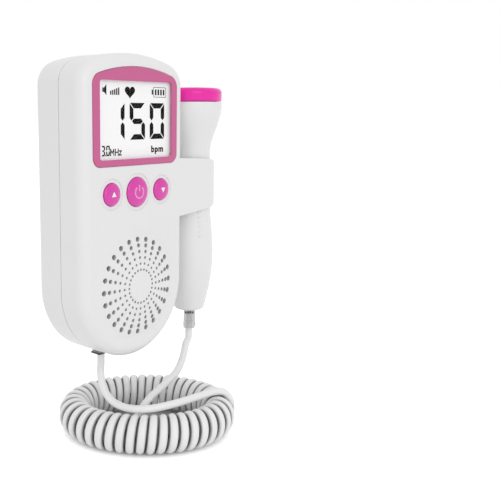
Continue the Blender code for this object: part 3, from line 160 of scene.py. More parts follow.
def evenly(outline: np.ndarray, count: int, start: float = 0.0) -> np.ndarray:
    """A closed outline read off at even steps of its own length.

    Args:
        outline: Points of the closed outline.
        count: Number of points wanted.
        start: Share of the length at which to begin.

    Returns:
        An array of count points.
    """
    closed = np.concatenate([outline, outline[:1]])
    lengths = lengths_along(closed)
    return read_off(closed, lengths, (np.arange(count) / count + start) % 1.0 * lengths[-1])


def socket_mouth(middle: float) -> np.ndarray:
    """Outline of a modular socket's mouth about (0, middle)."""
    return rounded_box(-5.1 * MM, 5.1 * MM, middle - 4.3 * MM, middle + 4.3 * MM, 0.5 * MM, 4)


def drawn_in(outline: np.ndarray, amount: float) -> np.ndarray:
    """A convex outline drawn in: corner + amount (n1 + n2) / (1 + n1 . n2), n being inward normals.

    Args:
        outline: Corners in order.
        amount: How far each edge moves.

    Returns:
        The corners of the smaller outline.
    """
    along = np.roll(outline, -1, axis=0) - outline
    along = along / np.linalg.norm(along, axis=1, keepdims=True)
    inward = np.stack([-along[:, 1], along[:, 0]], axis=1)
    facing = ((outline.mean(axis=0) - outline) * inward).sum(axis=1, keepdims=True)
    inward = inward * np.sign(facing)
    before = np.roll(inward, 1, axis=0)
    return outline + amount * (before + inward) / (1.0 + (before * inward).sum(axis=1, keepdims=True))


def smooth_step(share: np.ndarray) -> np.ndarray:
    """Zero to one with level ends: 3 s squared minus 2 s cubed."""
    share = np.clip(share, 0.0, 1.0)
    return share * share * (3.0 - 2.0 * share)


# Meshes


def placed(name: str, data: bpy.types.ID) -> bpy.types.Object:
    """A new object with its data, linked into the scene.

    Args:
        name: The object's name.
        data: Its mesh, curve, camera or lamp.

    Returns:
        The object.
    """
    piece = bpy.data.objects.new(name, data)
    bpy.context.scene.collection.objects.link(piece)
    return piece


def evaluated(piece: bpy.types.Object) -> bpy.types.Mesh:
    """A new mesh of a piece as its modifiers or its curves leave it."""
    bpy.context.view_layer.update()
    return bpy.data.meshes.new_from_object(piece.evaluated_get(bpy.context.evaluated_depsgraph_get()))


class MeshBuffer:
    """Collects grids of points as closed solids and turns them into one object."""

    def __init__(self) -> None:
        """Start with nothing."""
        self.points: list[np.ndarray] = []
        self.faces: list[list[int]] = []
        self.count = 0

    def add_grid(self, grid: np.ndarray, ring_closed: bool = False) -> "MeshBuffer":
        """Add a surface through rows of points, closed round each row.

        Each cell joins point (i, j) to its neighbours in the row and in the next
        row.  The first and last rows get a flat cap unless the rows close too.

        Args:
            grid: Array of shape (rows, columns, 3).
            ring_closed: True where the last row joins the first.

        Returns:
            This buffer.
        """
        rows, columns = grid.shape[:2]
        index = np.arange(rows * columns).reshape(rows, columns) + self.count
        across = np.roll(index, -1, axis=1)
        if ring_closed:
            low, high = index, np.roll(index, -1, axis=0)
            low_next, high_next = across, np.roll(across, -1, axis=0)
        else:
            low, high = index[:-1], index[1:]
            low_next, high_next = across[:-1], across[1:]
        quads = np.stack([low, low_next, high_next, high], axis=-1).reshape(-1, 4)
        self.faces += quads.tolist()
        if not ring_closed:
            self.faces += [index[0][::-1].tolist(), index[-1].tolist()]
        self.points.append(grid.reshape(-1, 3))
        self.count += rows * columns
        return self

    def add_prism(self, outline: np.ndarray, near: float, far: float, axis: Axis = Axis.BACK) -> "MeshBuffer":
        """Add an outline carried straight from one place on an axis to another.

        Args:
            outline: Points (y, z) for an axis along X, (x, z) along Y, or (x, y) along Z.
            near: First place on the axis.
            far: Second place on the axis.
            axis: The axis.

        Returns:
            This buffer.
        """
        return self.add_grid(np.stack([lay(outline, place, axis) for place in (near, far)]))

    def build(self, name: str) -> bpy.types.Object:
        """Make the object, with doubles merged and faces turned outwards.

        Args:
            name: The object's name.

        Returns:
            The object, at the origin.
        """
        mesh = bpy.data.meshes.new(name)
        mesh.from_pydata(np.concatenate(self.points).tolist(), [], self.faces)
        work = bmesh.new()
        work.from_mesh(mesh)
        bmesh.ops.remove_doubles(work, verts=work.verts, dist=1e-7)
        bmesh.ops.recalc_face_normals(work, faces=work.faces)
        work.to_mesh(mesh)
        work.free()
        return placed(name, mesh)


def in_space(first: np.ndarray, second: np.ndarray, along: np.ndarray, axis: Axis) -> np.ndarray:
    """Two coordinates across an axis and one along it, stacked as (x, y, z).

    Args:
        first: First coordinate across the axis.
        second: Second one.
        along: Coordinate along it.
        axis: The axis.

    Returns:
        Points, with (x, y, z) last.
    """
    columns = {
        Axis.ACROSS: (along, first, second), Axis.BACK: (first, along, second), Axis.UP: (first, second, along),
    }
    return np.stack(columns[axis], axis=-1)


def lay(outline: np.ndarray, place: float, axis: Axis) -> np.ndarray:
    """An outline's points in space, at one place on an axis."""
    return in_space(outline[:, 0], outline[:, 1], np.full(len(outline), place), axis)


def stack(outlines: list[np.ndarray], places: list[float], axis: Axis = Axis.BACK) -> np.ndarray:
    """Outlines of equal count as a grid, one row at each place on the axis."""
    return np.stack([lay(outline, place, axis) for outline, place in zip(outlines, places)])


def turned(profile: np.ndarray, centre: tuple[float, float], axis: Axis, steps: int = 96) -> np.ndarray:
    """A surface of revolution: (r cos a, r sin a) round a centre, at the profile's height.

    Args:
        profile: Array of (radius, height) from one end of the axis to the other.
        centre: Where the axis runs: (x, z) for one along Y, (x, y) for one along Z.
        axis: The axis.
        steps: Columns round the axis.

    Returns:
        A grid of shape (len(profile), steps, 3).
    """
    profile = np.asarray(profile, float)
    angle = np.arange(steps) * TAU / steps
    first = centre[0] + profile[:, :1] * np.cos(angle)
    second = centre[1] + profile[:, :1] * np.sin(angle)
    along = np.repeat(profile[:, 1:], steps, axis=1)
    return in_space(first, second, along, axis)


def edged(outline: Callable[[float], np.ndarray], edge: np.ndarray, face: float, back: float,
          name: str) -> bpy.types.Object:
    """A block along Y with a rounded edge round its face.

    Args:
        outline: Gives the block's outline drawn in by an inset.
        edge: The edge as (inset, depth) pairs.
        face: Depth of the face.
        back: Depth of the other end.
        name: The block's name.

    Returns:
        The block.
    """
    side = math.copysign(1.0, back - face)
    outlines = [outline(inset) for inset in edge[:, 0]] + [outline(0.0)]
    places = [face + side * depth for depth in edge[:, 1]] + [back]
    return MeshBuffer().add_grid(stack(outlines, places)).build(name)


def run_through(outlines: list[np.ndarray], places: list[float], start: float, stop: float,
                name: str) -> bpy.types.Object:
    """A cutter along Y through outlines, carried on straight past both ends.

    Args:
        outlines: The outlines, of equal count.
        places: Where each lies.
        start: Where the straight run before them begins.
        stop: Where the one after them ends.
        name: The cutter's name.

    Returns:
        The cutter.
    """
    rows = stack([outlines[0], *outlines, outlines[-1]], [start, *places, stop])
    return MeshBuffer().add_grid(rows).build(name)


def rounding(radius: float, steps: int = 6) -> np.ndarray:
    """A quarter-round edge as (inset, depth) pairs: r (1 - sin a), r (1 - cos a)."""
    angle = np.linspace(0.0, QUARTER, steps + 1)
    return np.stack([radius * (1.0 - np.sin(angle)), radius * (1.0 - np.cos(angle))], axis=1)


def join(target: bpy.types.Object, tool: bpy.types.Object, how: Cut) -> None:
    """Cut a tool out of a solid or join it on, and remove the tool.

    Args:
        target: The solid that changes.
        tool: The other solid, which is removed.
        how: Whether it is cut away or joined on.
    """
    modifier = target.modifiers.new("cut", "BOOLEAN")
    modifier.operation = how.value
    modifier.solver = "MANIFOLD"
    modifier.object = tool
    mesh = evaluated(target)
    if len(mesh.polygons) in (0, len(target.data.polygons)):
        log.warning("exact cut on %s", target.name)
        modifier.solver = "EXACT"
        mesh = evaluated(target)
    target.modifiers.clear()
    mesh.name = target.name
    target.data = mesh
    bpy.data.objects.remove(tool, do_unlink=True)


def soften(piece: bpy.types.Object, width: float, steps: int = 3, angle: float = 40.0) -> bpy.types.Object:
    """Round the sharp edges of a piece.

    Args:
        piece: The piece.
        width: Width of the rounding.
        steps: Segments across it.
        angle: Edges sharper than this many degrees are rounded.

    Returns:
        The piece, with its mesh changed.
    """
    bevel = piece.modifiers.new("edges", "BEVEL")
    bevel.width = width
    bevel.segments = steps
    bevel.limit_method = "ANGLE"
    bevel.angle_limit = math.radians(angle)
    bevel.use_clamp_overlap = True
    mesh = evaluated(piece)
    piece.modifiers.clear()
    piece.data = mesh
    return piece


def smooth(piece: bpy.types.Object, degrees: float = 35.0) -> None:
    """Shade a piece smooth, but for edges sharper than an angle."""
    piece.data.shade_smooth()
    piece.data.set_sharp_from_angle(angle=math.radians(degrees))


def settle(piece: bpy.types.Object, ball: tuple[np.ndarray, float] | None = None) -> None:
    """Shade a piece smooth, with true normals on its flats and on its dome.

    A corner on a flat that faces along Y keeps that direction, also in the rounding
    that meets it.  A corner on the dome takes the direction from the dome's centre.

    Args:
        piece: The piece.
        ball: Centre and radius of the dome's sphere, if it has one.
    """
    smooth(piece, 32.0)
    mesh = piece.data
    corners = np.empty(len(mesh.loops) * 3, np.float32)
    mesh.corner_normals.foreach_get("vector", corners)
    corners = corners.reshape(-1, 3)
    vertex = np.empty(len(mesh.loops), np.int32)
    mesh.loops.foreach_get("vertex_index", vertex)
    face_normal = np.empty(len(mesh.polygons) * 3, np.float32)
    mesh.polygons.foreach_get("normal", face_normal)
    sizes = np.empty(len(mesh.polygons), np.int32)
    mesh.polygons.foreach_get("loop_total", sizes)
    of_corner = np.repeat(face_normal.reshape(-1, 3), sizes, axis=0)
    flat = np.abs(of_corner[:, 1]) > 0.99999
    pinned = np.zeros((len(mesh.vertices), 3), np.float32)
    pinned[vertex[flat]] = of_corner[flat]
    wanted = pinned[vertex]
    near = (wanted * corners).sum(axis=1) > math.cos(math.radians(25.0))
    corners[near] = wanted[near]
    if ball is not None:
        places = np.empty(len(mesh.vertices) * 3, np.float32)
        mesh.vertices.foreach_get("co", places)
        away = places.reshape(-1, 3) - np.asarray(ball[0], np.float32)
        distance = np.linalg.norm(away, axis=1)
        on_ball = (np.abs(distance - ball[1]) < 4e-6)[vertex]
        radial = (away / distance[:, None])[vertex]
        near = on_ball & ((radial * corners).sum(axis=1) > math.cos(math.radians(20.0)))
        corners[near] = radial[near]
    mesh.normals_split_custom_set(corners.tolist())


# Node groups and finishes

WHITE = (1.0, 1.0, 1.0, 1.0)
BLACK = (0.0, 0.0, 0.0, 1.0)
FLOW_TONE = (0.55, 0.56, 0.6, 1.0)
TARNISH_TONE = (0.5, 0.45, 0.38, 1.0)
TIN_TONE = (0.66, 0.66, 0.62, 1.0)
# The next tone is painted shade, for the gaps between a cord's curls.
GAP_SHADE_TONE = (0.12, 0.12, 0.125, 1.0)


def new_group(name: str, inputs: dict[str, object], outputs: tuple[str, ...]) -> tuple:
    """Start a shader node group with named sockets.

    Args:
        name: The group's name.
        inputs: Name and default of each input: four numbers for a colour, three for a vector, or one.
        outputs: Name of each output.

    Returns:
        The group, its input node's sockets and its output node.
    """
    group = bpy.data.node_groups.new(name, "ShaderNodeTree")
    kinds = {4: "NodeSocketColor", 3: "NodeSocketVector", 1: "NodeSocketFloat"}
    for label, default in inputs.items():
        kind = kinds[np.size(default)]
        group.interface.new_socket(label, in_out="INPUT", socket_type=kind).default_value = default
    for label in outputs:
        group.interface.new_socket(label, in_out="OUTPUT", socket_type=kinds[4 if label == "Colour" else 1])
    return group, group.nodes.new("NodeGroupInput").outputs, group.nodes.new("NodeGroupOutput")


def feed(target: bpy.types.Node, values: dict) -> None:
    """Give a node's inputs their values and links.

    Args:
        target: The node.
        values: By input name or number, a value or the output socket that feeds it.
    """
    for key, value in values.items():
        if isinstance(value, bpy.types.NodeSocket):
            target.id_data.links.new(value, target.inputs[key])
        else:
            target.inputs[key].default_value = value


def node(tree: bpy.types.NodeTree, kind: str, values: dict | None = None, **settings: object) -> bpy.types.Node:
    """Add a node with settings, input values and links.

    Args:
        tree: The tree that gets the node.
        kind: The node's type, without the words that all shader nodes begin with.
        values: By input name or number, a value or the output socket that feeds it.
        settings: Properties of the node.

    Returns:
        The node.
    """
    made = tree.nodes.new(f"ShaderNode{kind}")
    for key, value in settings.items():
        setattr(made, key, value)
    feed(made, values or {})
    return made


def maths(tree: bpy.types.NodeTree, operation: str, *values: object, clamp: bool = False) -> bpy.types.NodeSocket:
    """The outcome of a Math node on numbers or sockets."""
    return node(tree, "Math", dict(enumerate(values)), operation=operation, use_clamp=clamp).outputs[0]


def mixed(tree: bpy.types.NodeTree, share: object, first: object, second: object,
          blend: str = "MIX") -> bpy.types.NodeSocket:
    """The outcome of a colour Mix node.

    Args:
        tree: The tree that gets the node.
        share: Share of the second colour.
        first: First colour.
        second: Second colour.
        blend: How they blend.

    Returns:
        The socket with the mixed colour.
    """
    values = {"Factor": share, "A": first, "B": second}
    return node(tree, "Mix", values, data_type="RGBA", blend_type=blend).outputs["Result"]


@cache
def moulded_group() -> bpy.types.NodeTree:
    """Moulded plastic: fine spark grain, faint flow mottling and handling haze.

    Returns:
        The group.
    """
    tree, given, leave = new_group(
        "moulded_plastic",
        {"Colour": (0.8, 0.8, 0.8, 1.0), "Mottle": 0.03, "Grain Scale": 2500.0, "Roughness": 0.4, "Haze": 0.05},
        ("Colour", "Roughness", "Grain"),
    )
    place = node(tree, "TexCoord").outputs["Object"]
    fine = {"Vector": place, "Scale": given["Grain Scale"], "Detail": 3.0, "Roughness": 0.6}
    grain = node(tree, "TexNoise", fine)
    flow = node(tree, "TexNoise", {"Vector": place, "Scale": 45.0, "Detail": 4.0, "Distortion": 0.6})
    haze = node(tree, "TexNoise", {"Vector": place, "Scale": 160.0, "Detail": 5.0, "Roughness": 0.7})
    shade = node(tree, "MapRange", {"Value": flow.outputs["Fac"], "From Min": 0.3, "From Max": 0.7})
    amount = maths(tree, "MULTIPLY", shade.outputs["Result"], given["Mottle"])
    spread = maths(tree, "MULTIPLY", maths(tree, "SUBTRACT", haze.outputs["Fac"], 0.5), given["Haze"])
    feed(leave, {
        "Colour": mixed(tree, amount, given["Colour"], FLOW_TONE, "MULTIPLY"),
        "Roughness": maths(tree, "ADD", spread, given["Roughness"], clamp=True), "Grain": grain.outputs["Fac"],
    })
    return tree


@cache
def streak_group() -> bpy.types.NodeTree:
    """Drawn or plated metal: noise stretched along one direction, with tarnish spots.

    Returns:
        The group.
    """
    tree, given, leave = new_group(
        "drawn_streaks",
        {"Colour": (0.6, 0.6, 0.6, 1.0), "Stretch": (400.0, 400.0, 4000.0), "Roughness": 0.3, "Tarnish": 0.2},
        ("Colour", "Roughness", "Grain"),
    )
    place = node(tree, "TexCoord").outputs["Object"]
    drawn = node(tree, "VectorMath", {0: place, 1: given["Stretch"]}, operation="MULTIPLY")
    streaks = node(tree, "TexNoise", {"Vector": drawn.outputs[0], "Scale": 1.0, "Detail": 4.0}).outputs["Fac"]
    spots = node(tree, "TexNoise", {"Vector": place, "Scale": 300.0, "Detail": 4.0})
    amount = maths(tree, "MULTIPLY", spots.outputs["Fac"], given["Tarnish"])
    feed(leave, {
        "Colour": mixed(tree, amount, given["Colour"], TARNISH_TONE, "MULTIPLY"),
        "Roughness": maths(tree, "MULTIPLY_ADD", streaks, 0.3, given["Roughness"]), "Grain": streaks,
    })
    return tree


@cache
def board_group() -> bpy.types.NodeTree:
    """Circuit board: copper tracks under solder mask, with tinned dots.

    Returns:
        The group.
    """
    tree, given, leave = new_group(
        "board_tracks",
        {"Mask": (0.02, 0.2, 0.07, 1.0), "Track": (0.05, 0.34, 0.13, 1.0), "Pitch": 420.0},
        ("Colour", "Metallic", "Grain"),
    )
    place = node(tree, "TexCoord").outputs["Object"]
    turn = node(tree, "Mapping", {"Vector": place, "Rotation": (QUARTER, 0.0, 0.0)}).outputs["Vector"]
    tracks = node(tree, "TexBrick", {
        "Vector": turn, "Scale": given["Pitch"], "Mortar Size": 0.035, "Color1": BLACK, "Color2": BLACK,
        "Mortar": WHITE,
    })
    dots = node(tree, "TexVoronoi", {"Vector": turn, "Scale": 330.0, "Randomness": 0.6})
    pad = maths(tree, "LESS_THAN", dots.outputs["Distance"], 0.22)
    lacquer = mixed(tree, tracks.outputs["Color"], given["Mask"], given["Track"])
    feed(leave, {
        "Colour": mixed(tree, pad, lacquer, TIN_TONE), "Metallic": pad, "Grain": tracks.outputs["Fac"],
    })
    return tree


@cache
def fibre_group() -> bpy.types.NodeTree:
    """Pressed paper or ceramic: coarse fibres with a spread of tone.

    Returns:
        The group.
    """
    tree, given, leave = new_group(
        "pressed_fibre",
        {"Dark": (0.1, 0.1, 0.1, 1.0), "Light": (0.2, 0.2, 0.2, 1.0), "Scale": 1500.0}, ("Colour", "Grain"),
    )
    place = node(tree, "TexCoord").outputs["Object"]
    fibres = node(tree, "TexNoise", {
        "Vector": place, "Scale": given["Scale"], "Detail": 6.0, "Roughness": 0.7, "Distortion": 2.0,
    }).outputs["Fac"]
    feed(leave, {"Colour": mixed(tree, fibres, given["Dark"], given["Light"]), "Grain": fibres})
    return tree


def start_material(name: str) -> tuple[bpy.types.Material, bpy.types.NodeTree, bpy.types.Node]:
    """Start a material that has a Principled shader.

    Args:
        name: The material's name.

    Returns:
        The material, its tree and its shader.
    """
    material = bpy.data.materials.new(name)
    material.use_nodes = True
    return material, material.node_tree, material.node_tree.nodes["Principled BSDF"]


def grained(tree: bpy.types.NodeTree, height: bpy.types.NodeSocket, depth: float) -> bpy.types.NodeSocket:
    """The normal of a surface that a height raises by up to a depth in metres."""
    return node(tree, "Bump", {"Height": height, "Strength": 1.0, "Distance": depth}).outputs["Normal"]


@dataclass(frozen=True)
class Finish:
    """A surface finish, kept as one material."""

    name: str

    def material(self) -> bpy.types.Material:
        """The finish as a material, built once.

        Returns:
            The material.
        """
        found = bpy.data.materials.get(self.name)
        if found:
            return found
        material, tree, shader = start_material(self.name)
        feed(shader, self.values(tree))
        return material

    def values(self, tree: bpy.types.NodeTree) -> dict:
        """What the shader's inputs get."""
        raise NotImplementedError


@dataclass(frozen=True)
class Plastic(Finish):
    """A moulded plastic finish."""

    colour: tuple[float, float, float]
    roughness: float = 0.38
    mottle: float = 0.03
    haze: float = 0.06
    grain_scale: float = 2600.0
    grain_depth: float = 0.004 * MM
    coat: float = 0.0
    alpha: float = 1.0
    glow: float = 0.0
    shine: float = 0.5
    # Strength of the painted shade between a cord's curls.
    crevice_shade: float = 0.0

    def values(self, tree: bpy.types.NodeTree) -> dict:
        """Mottled colour, with painted shade in the gaps between curls, with haze and grain.

        Args:
            tree: The material's tree.

        Returns:
            Values and sockets by input name.
        """
        look = node(tree, "Group", {
            "Colour": (*self.colour, 1.0), "Mottle": self.mottle, "Grain Scale": self.grain_scale,
            "Roughness": self.roughness, "Haze": self.haze,
        }, node_tree=moulded_group()).outputs
        colour = look["Colour"]
        # Painted shade: the between attribute darkens the colour in the gaps between curls and on the ring's
        # inside.
        if self.crevice_shade:
            between = node(tree, "Attribute", attribute_name="between").outputs["Fac"]
            colour = mixed(tree, maths(tree, "MULTIPLY", between, self.crevice_shade), colour, GAP_SHADE_TONE, "MULTIPLY")
        values = {
            "Base Color": colour, "Roughness": look["Roughness"],
            "Normal": grained(tree, look["Grain"], self.grain_depth), "Coat Weight": self.coat,
            "Coat Roughness": 0.08, "Alpha": self.alpha, "Specular IOR Level": self.shine,
        }
        if self.glow:
            values |= {"Emission Color": look["Colour"], "Emission Strength": self.glow}
        return values


@dataclass(frozen=True)
class Metal(Finish):
    """A drawn or plated metal finish."""

    colour: tuple[float, float, float]
    roughness: float = 0.2
    tarnish: float = 0.25
    stretch: tuple[float, float, float] = (300.0, 300.0, 5000.0)

    def values(self, tree: bpy.types.NodeTree) -> dict:
        """Streaked and spotted metal.

        Args:
            tree: The material's tree.

        Returns:
            Values and sockets by input name.
        """
        look = node(tree, "Group", {
            "Colour": (*self.colour, 1.0), "Stretch": self.stretch, "Roughness": self.roughness,
            "Tarnish": self.tarnish,
        }, node_tree=streak_group()).outputs
        return {
            "Base Color": look["Colour"], "Roughness": look["Roughness"], "Metallic": 1.0,
            "Normal": grained(tree, look["Grain"], 0.003 * MM),
        }


@dataclass(frozen=True)
class Board(Finish):
    """A circuit board's finish."""

    name: str = "solder_mask"

    def values(self, tree: bpy.types.NodeTree) -> dict:
        """Solder mask over tracks, with bare tin on the dots.

        Args:
            tree: The material's tree.

        Returns:
            Values and sockets by input name.
        """
        look = node(tree, "Group", node_tree=board_group()).outputs
        return {
            "Base Color": look["Colour"], "Metallic": look["Metallic"], "Roughness": 0.35,
            "Normal": grained(tree, look["Grain"], 0.03 * MM),
        }


@dataclass(frozen=True)
class Fibre(Finish):
    """A pressed fibre or sintered finish."""

    dark: tuple[float, float, float]
    light: tuple[float, float, float]
    roughness: float = 0.75
    scale: float = 1500.0

    def values(self, tree: bpy.types.NodeTree) -> dict:
        """Fibres between a dark and a light tone.

        Args:
            tree: The material's tree.

        Returns:
            Values and sockets by input name.
        """
        look = node(tree, "Group", {
            "Dark": (*self.dark, 1.0), "Light": (*self.light, 1.0), "Scale": self.scale,
        }, node_tree=fibre_group()).outputs
        return {
            "Base Color": look["Colour"], "Roughness": self.roughness,
            "Normal": grained(tree, look["Grain"], 0.02 * MM),
        }


HOUSING_WHITE = Plastic("housing_white", (0.80, 0.80, 0.80), 0.36, 0.02, coat=0.05)
BEZEL_PINK = Plastic("bezel_moulding", (0.575, 0.115, 0.285), 0.34, 0.03, shine=0.4)
KEY_MAGENTA = Plastic("key_magenta", (0.68, 0.030, 0.38), 0.24, 0.02, coat=0.3)
RING_MAGENTA = Plastic("ring_magenta", (0.85, 0.022, 0.39), 0.25, 0.02, coat=0.1, shine=0.25)
BORE_SHADE = Plastic("bore_shade", (0.54, 0.54, 0.54), 0.5, 0.02, shine=0.2)
KEY_MARK = Plastic("key_mark_white", (0.9, 0.9, 0.9), 0.5)
KEY_SYMBOL = Plastic("key_symbol_pink", (0.86, 0.34, 0.64), 0.3)
WINDOW_CLEAR = Plastic("window_clear", (0.5, 0.5, 0.5), 0.08, 0.0, 0.02, alpha=0.012, shine=0.06)
DISPLAY_WHITE = Plastic("display_white", (0.88, 0.88, 0.88), 0.5, 0.01, glow=0.115, shine=0.2)
DISPLAY_INK = Plastic("display_ink", (0.004, 0.004, 0.004), 0.5, shine=0.03)
# The cord's finish carries painted shade between its curls.
CORD_WHITE = Plastic("cord_sheath", (0.86, 0.86, 0.86), 0.33, 0.03, 0.1, 1800.0, 0.006 * MM, crevice_shade=0.85)
PLUG_CLEAR = Plastic("plug_clear", (0.50, 0.51, 0.52), 0.12, 0.05, 0.05, coat=0.5, alpha=0.55)
BLACK_PLASTIC = Plastic("black_moulding", (0.02, 0.02, 0.021), 0.5, 0.1)
# Nearly black: the crimp collar's colour is painted shade of the gap at a plug's foot.
COLLAR_SHADE_GREY = Plastic("collar_shade_grey", (0.045, 0.045, 0.047), 0.45, 0.1)
DARK_SOCKET = Plastic("socket_grey", (0.10, 0.10, 0.10), 0.5, 0.1)
ACOUSTIC_FACE = Plastic("acoustic_window", (0.72, 0.72, 0.74), 0.3, 0.04, 0.1)
CELL_WRAP = Plastic("cell_sleeve", (0.05, 0.05, 0.07), 0.25, 0.2, coat=0.4)
STEEL = Metal("plated_steel", (0.62, 0.62, 0.64))
CONE_PAPER = Fibre("pressed_cone", (0.10, 0.10, 0.10), (0.22, 0.22, 0.22))
FERRITE = Fibre("ferrite_ring", (0.05, 0.05, 0.055), (0.12, 0.12, 0.13), 0.6, 900.0)
CERAMIC = Fibre("piezo_ceramic", (0.60, 0.50, 0.30), (0.78, 0.70, 0.46), 0.5, 1200.0)


def dress(piece: bpy.types.Object, finish: Finish, body: Body, slot: str, *nodes: str) -> bpy.types.Object:
    """Give a piece its finish and its body, and hide the nodes that it stands for.

    Args:
        piece: The piece.
        finish: Its finish.
        body: The body that it moves with.
        slot: Not used.
        nodes: CAD nodes that it replaces.

    Returns:
        The piece.
    """
    piece.data.materials.clear()
    piece.data.materials.append(finish.material())
    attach(piece, body.value)
    if nodes:
        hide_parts(*nodes)
    log.info("%s rides on %s, %d faces", piece.name, body.value, len(piece.data.polygons))
    return piece


@dataclass
class Housing:
    """The two shells of the housing and the probe clip."""

    half_width: float = 32.5 * MM
    top: float = 102.0 * MM
    front: float = -30.8 * MM
    seam: float = -16.6 * MM
    wall: float = 2.4 * MM
    arc_radius: float = 85.0 * MM
    corner_radius: float = 11.0 * MM
    edge_round: float = 5.2 * MM
    inner_round: float = 1.0 * MM
    grille_radius: float = 22.4 * MM
    grille_rise: float = 2.6 * MM
    spokes: int = 24
    rings: int = 6
    first_ring: float = 7.5 * MM
    last_ring: float = 21.0 * MM
    first_hole: float = 0.5 * MM
    last_hole: float = 1.15 * MM
    hole_lip: float = 0.16 * MM
    hole_sides: int = 16
    bezel_inset: float = 6.0 * MM
    bezel_bottom: float = 53.9 * MM
    bezel_corner: float = 4.0 * MM
    bezel_recess: float = 1.4 * MM
    bezel_gap: float = 0.1 * MM
    view_half: float = 22.6 * MM
    view_low: float = 56.7 * MM
    view_high: float = 89.9 * MM
    lcd_lap: float = 1.1 * MM
    key_z: float = 42.0 * MM
    key_spacing: float = 15.75 * MM
    power_radius: float = 6.5 * MM
    volume_radius: float = 4.9 * MM
    halo: float = 1.3 * MM
    halo_depth: float = 0.5 * MM
    key_gap: float = 0.16 * MM
    probe_x: float = 49.7 * MM
    probe_y: float = -20.3 * MM
    clip_inner: float = 10.35 * MM
    clip_outer: float = 11.95 * MM
    clip_tip: float = math.radians(-30.0)
    clip_high: tuple[float, float] = (55.6 * MM, 54.0 * MM)
    clip_low: tuple[float, float] = (28.2 * MM, 31.8 * MM)
    tip_reach: float = 12.5 * MM
    tip_rise: float = 8.1 * MM

    @property
    def inner_front(self) -> float:
        """Depth of the front wall's inner face."""
        return self.front + self.wall

    @property
    def ball_radius(self) -> float:
        """Radius of the grille's sphere, from its rise over its own radius."""
        return (self.grille_radius**2 + self.grille_rise**2) / (2.0 * self.grille_rise)

    def top_outline(self, inset: float, fine: int) -> np.ndarray:
        """Both top corners and the shallow arc between them, right to left.

        Args:
            inset: How far the outline is drawn in.
            fine: Steps in each corner.

        Returns:
            Points (x, z).
        """
        spread = self.arc_radius - self.corner_radius
        corner_x = self.half_width - self.corner_radius
        arc_z = self.top - self.arc_radius
        lean = math.asin(corner_x / spread)
        corner_z = arc_z + spread * math.cos(lean)
        radius = self.corner_radius - inset
        right = arc((corner_x, corner_z), radius, 0.0, QUARTER - lean, fine)
        middle = arc((0.0, arc_z), self.arc_radius - inset, QUARTER - lean, QUARTER + lean, 2 * fine)
        left = arc((-corner_x, corner_z), radius, QUARTER + lean, 2 * QUARTER, fine)
        return np.concatenate([right, middle[1:-1], left])

    def outline(self, inset: float) -> np.ndarray:
        """The housing's U shape drawn in by an inset, as points (x, z)."""
        bottom = arc((0.0, 0.0), self.half_width - inset, math.pi, TAU, 96)
        return np.concatenate([bottom, self.top_outline(inset, 16)])

    def bezel_outline(self, grow: float) -> np.ndarray:
        """The display bezel's outline grown by an amount.

        Args:
            grow: How far it is grown.

        Returns:
            Points (x, z).
        """
        side = self.half_width - self.bezel_inset + grow
        low = self.bezel_bottom - grow
        radius = self.bezel_corner + grow
        return np.concatenate([
            arc((-side + radius, low + radius), radius, 2 * QUARTER, 3 * QUARTER, 12),
            arc((side - radius, low + radius), radius, 3 * QUARTER, 4 * QUARTER, 12),
            self.top_outline(self.bezel_inset - grow, 12),
        ])

    def shell(self, face: float, seam: float, name: str) -> bpy.types.Object:
        """One shell as a solid block: a face, a quarter-round edge and a side wall.

        Args:
            face: Depth of its flat face.
            seam: Depth where it meets the other shell.
            name: The object's name.

        Returns:
            The block.
        """
        return edged(self.outline, rounding(self.edge_round, 12), face, seam, name)

    def hollow(self, face: float, seam: float) -> bpy.types.Object:
        """The space inside a shell, from its inner face to past the seam.

        Args:
            face: Depth of the shell's flat face.
            seam: Depth where it meets the other shell.

        Returns:
            The cutter.
        """
        side = math.copysign(1.0, seam - face)
        deep = self.edge_round + self.inner_round
        outlines = [self.outline(deep), self.outline(self.wall), self.outline(self.wall)]
        places = [face + side * self.wall, face + side * deep, seam + side * CUT]
        return MeshBuffer().add_grid(stack(outlines, places)).build("hollow")

    def dome_depth(self, radius: np.ndarray) -> np.ndarray:
        """Rise of the grille's sphere above the front: sqrt(R^2 - r^2) - (R - rise)."""
        ball = self.ball_radius
        return np.sqrt(ball**2 - np.square(radius)) - (ball - self.grille_rise)

    def dome(self, base: float, floor: float) -> bpy.types.Object:
        """The grille's dome as a solid of revolution.

        Args:
            base: Depth of the plane that it rises from.
            floor: Depth of its flat underside.

        Returns:
            The solid.
        """
        radii = np.linspace(0.0, self.grille_radius, 15)
        profile = np.stack([radii, base - self.dome_depth(radii)], axis=1)
        rim = np.array([[self.grille_radius, floor], [0.0, floor]])
        grid = turned(np.concatenate([profile, rim]), (0.0, 0.0), Axis.BACK, 96)
        return MeshBuffer().add_grid(grid).build("dome")

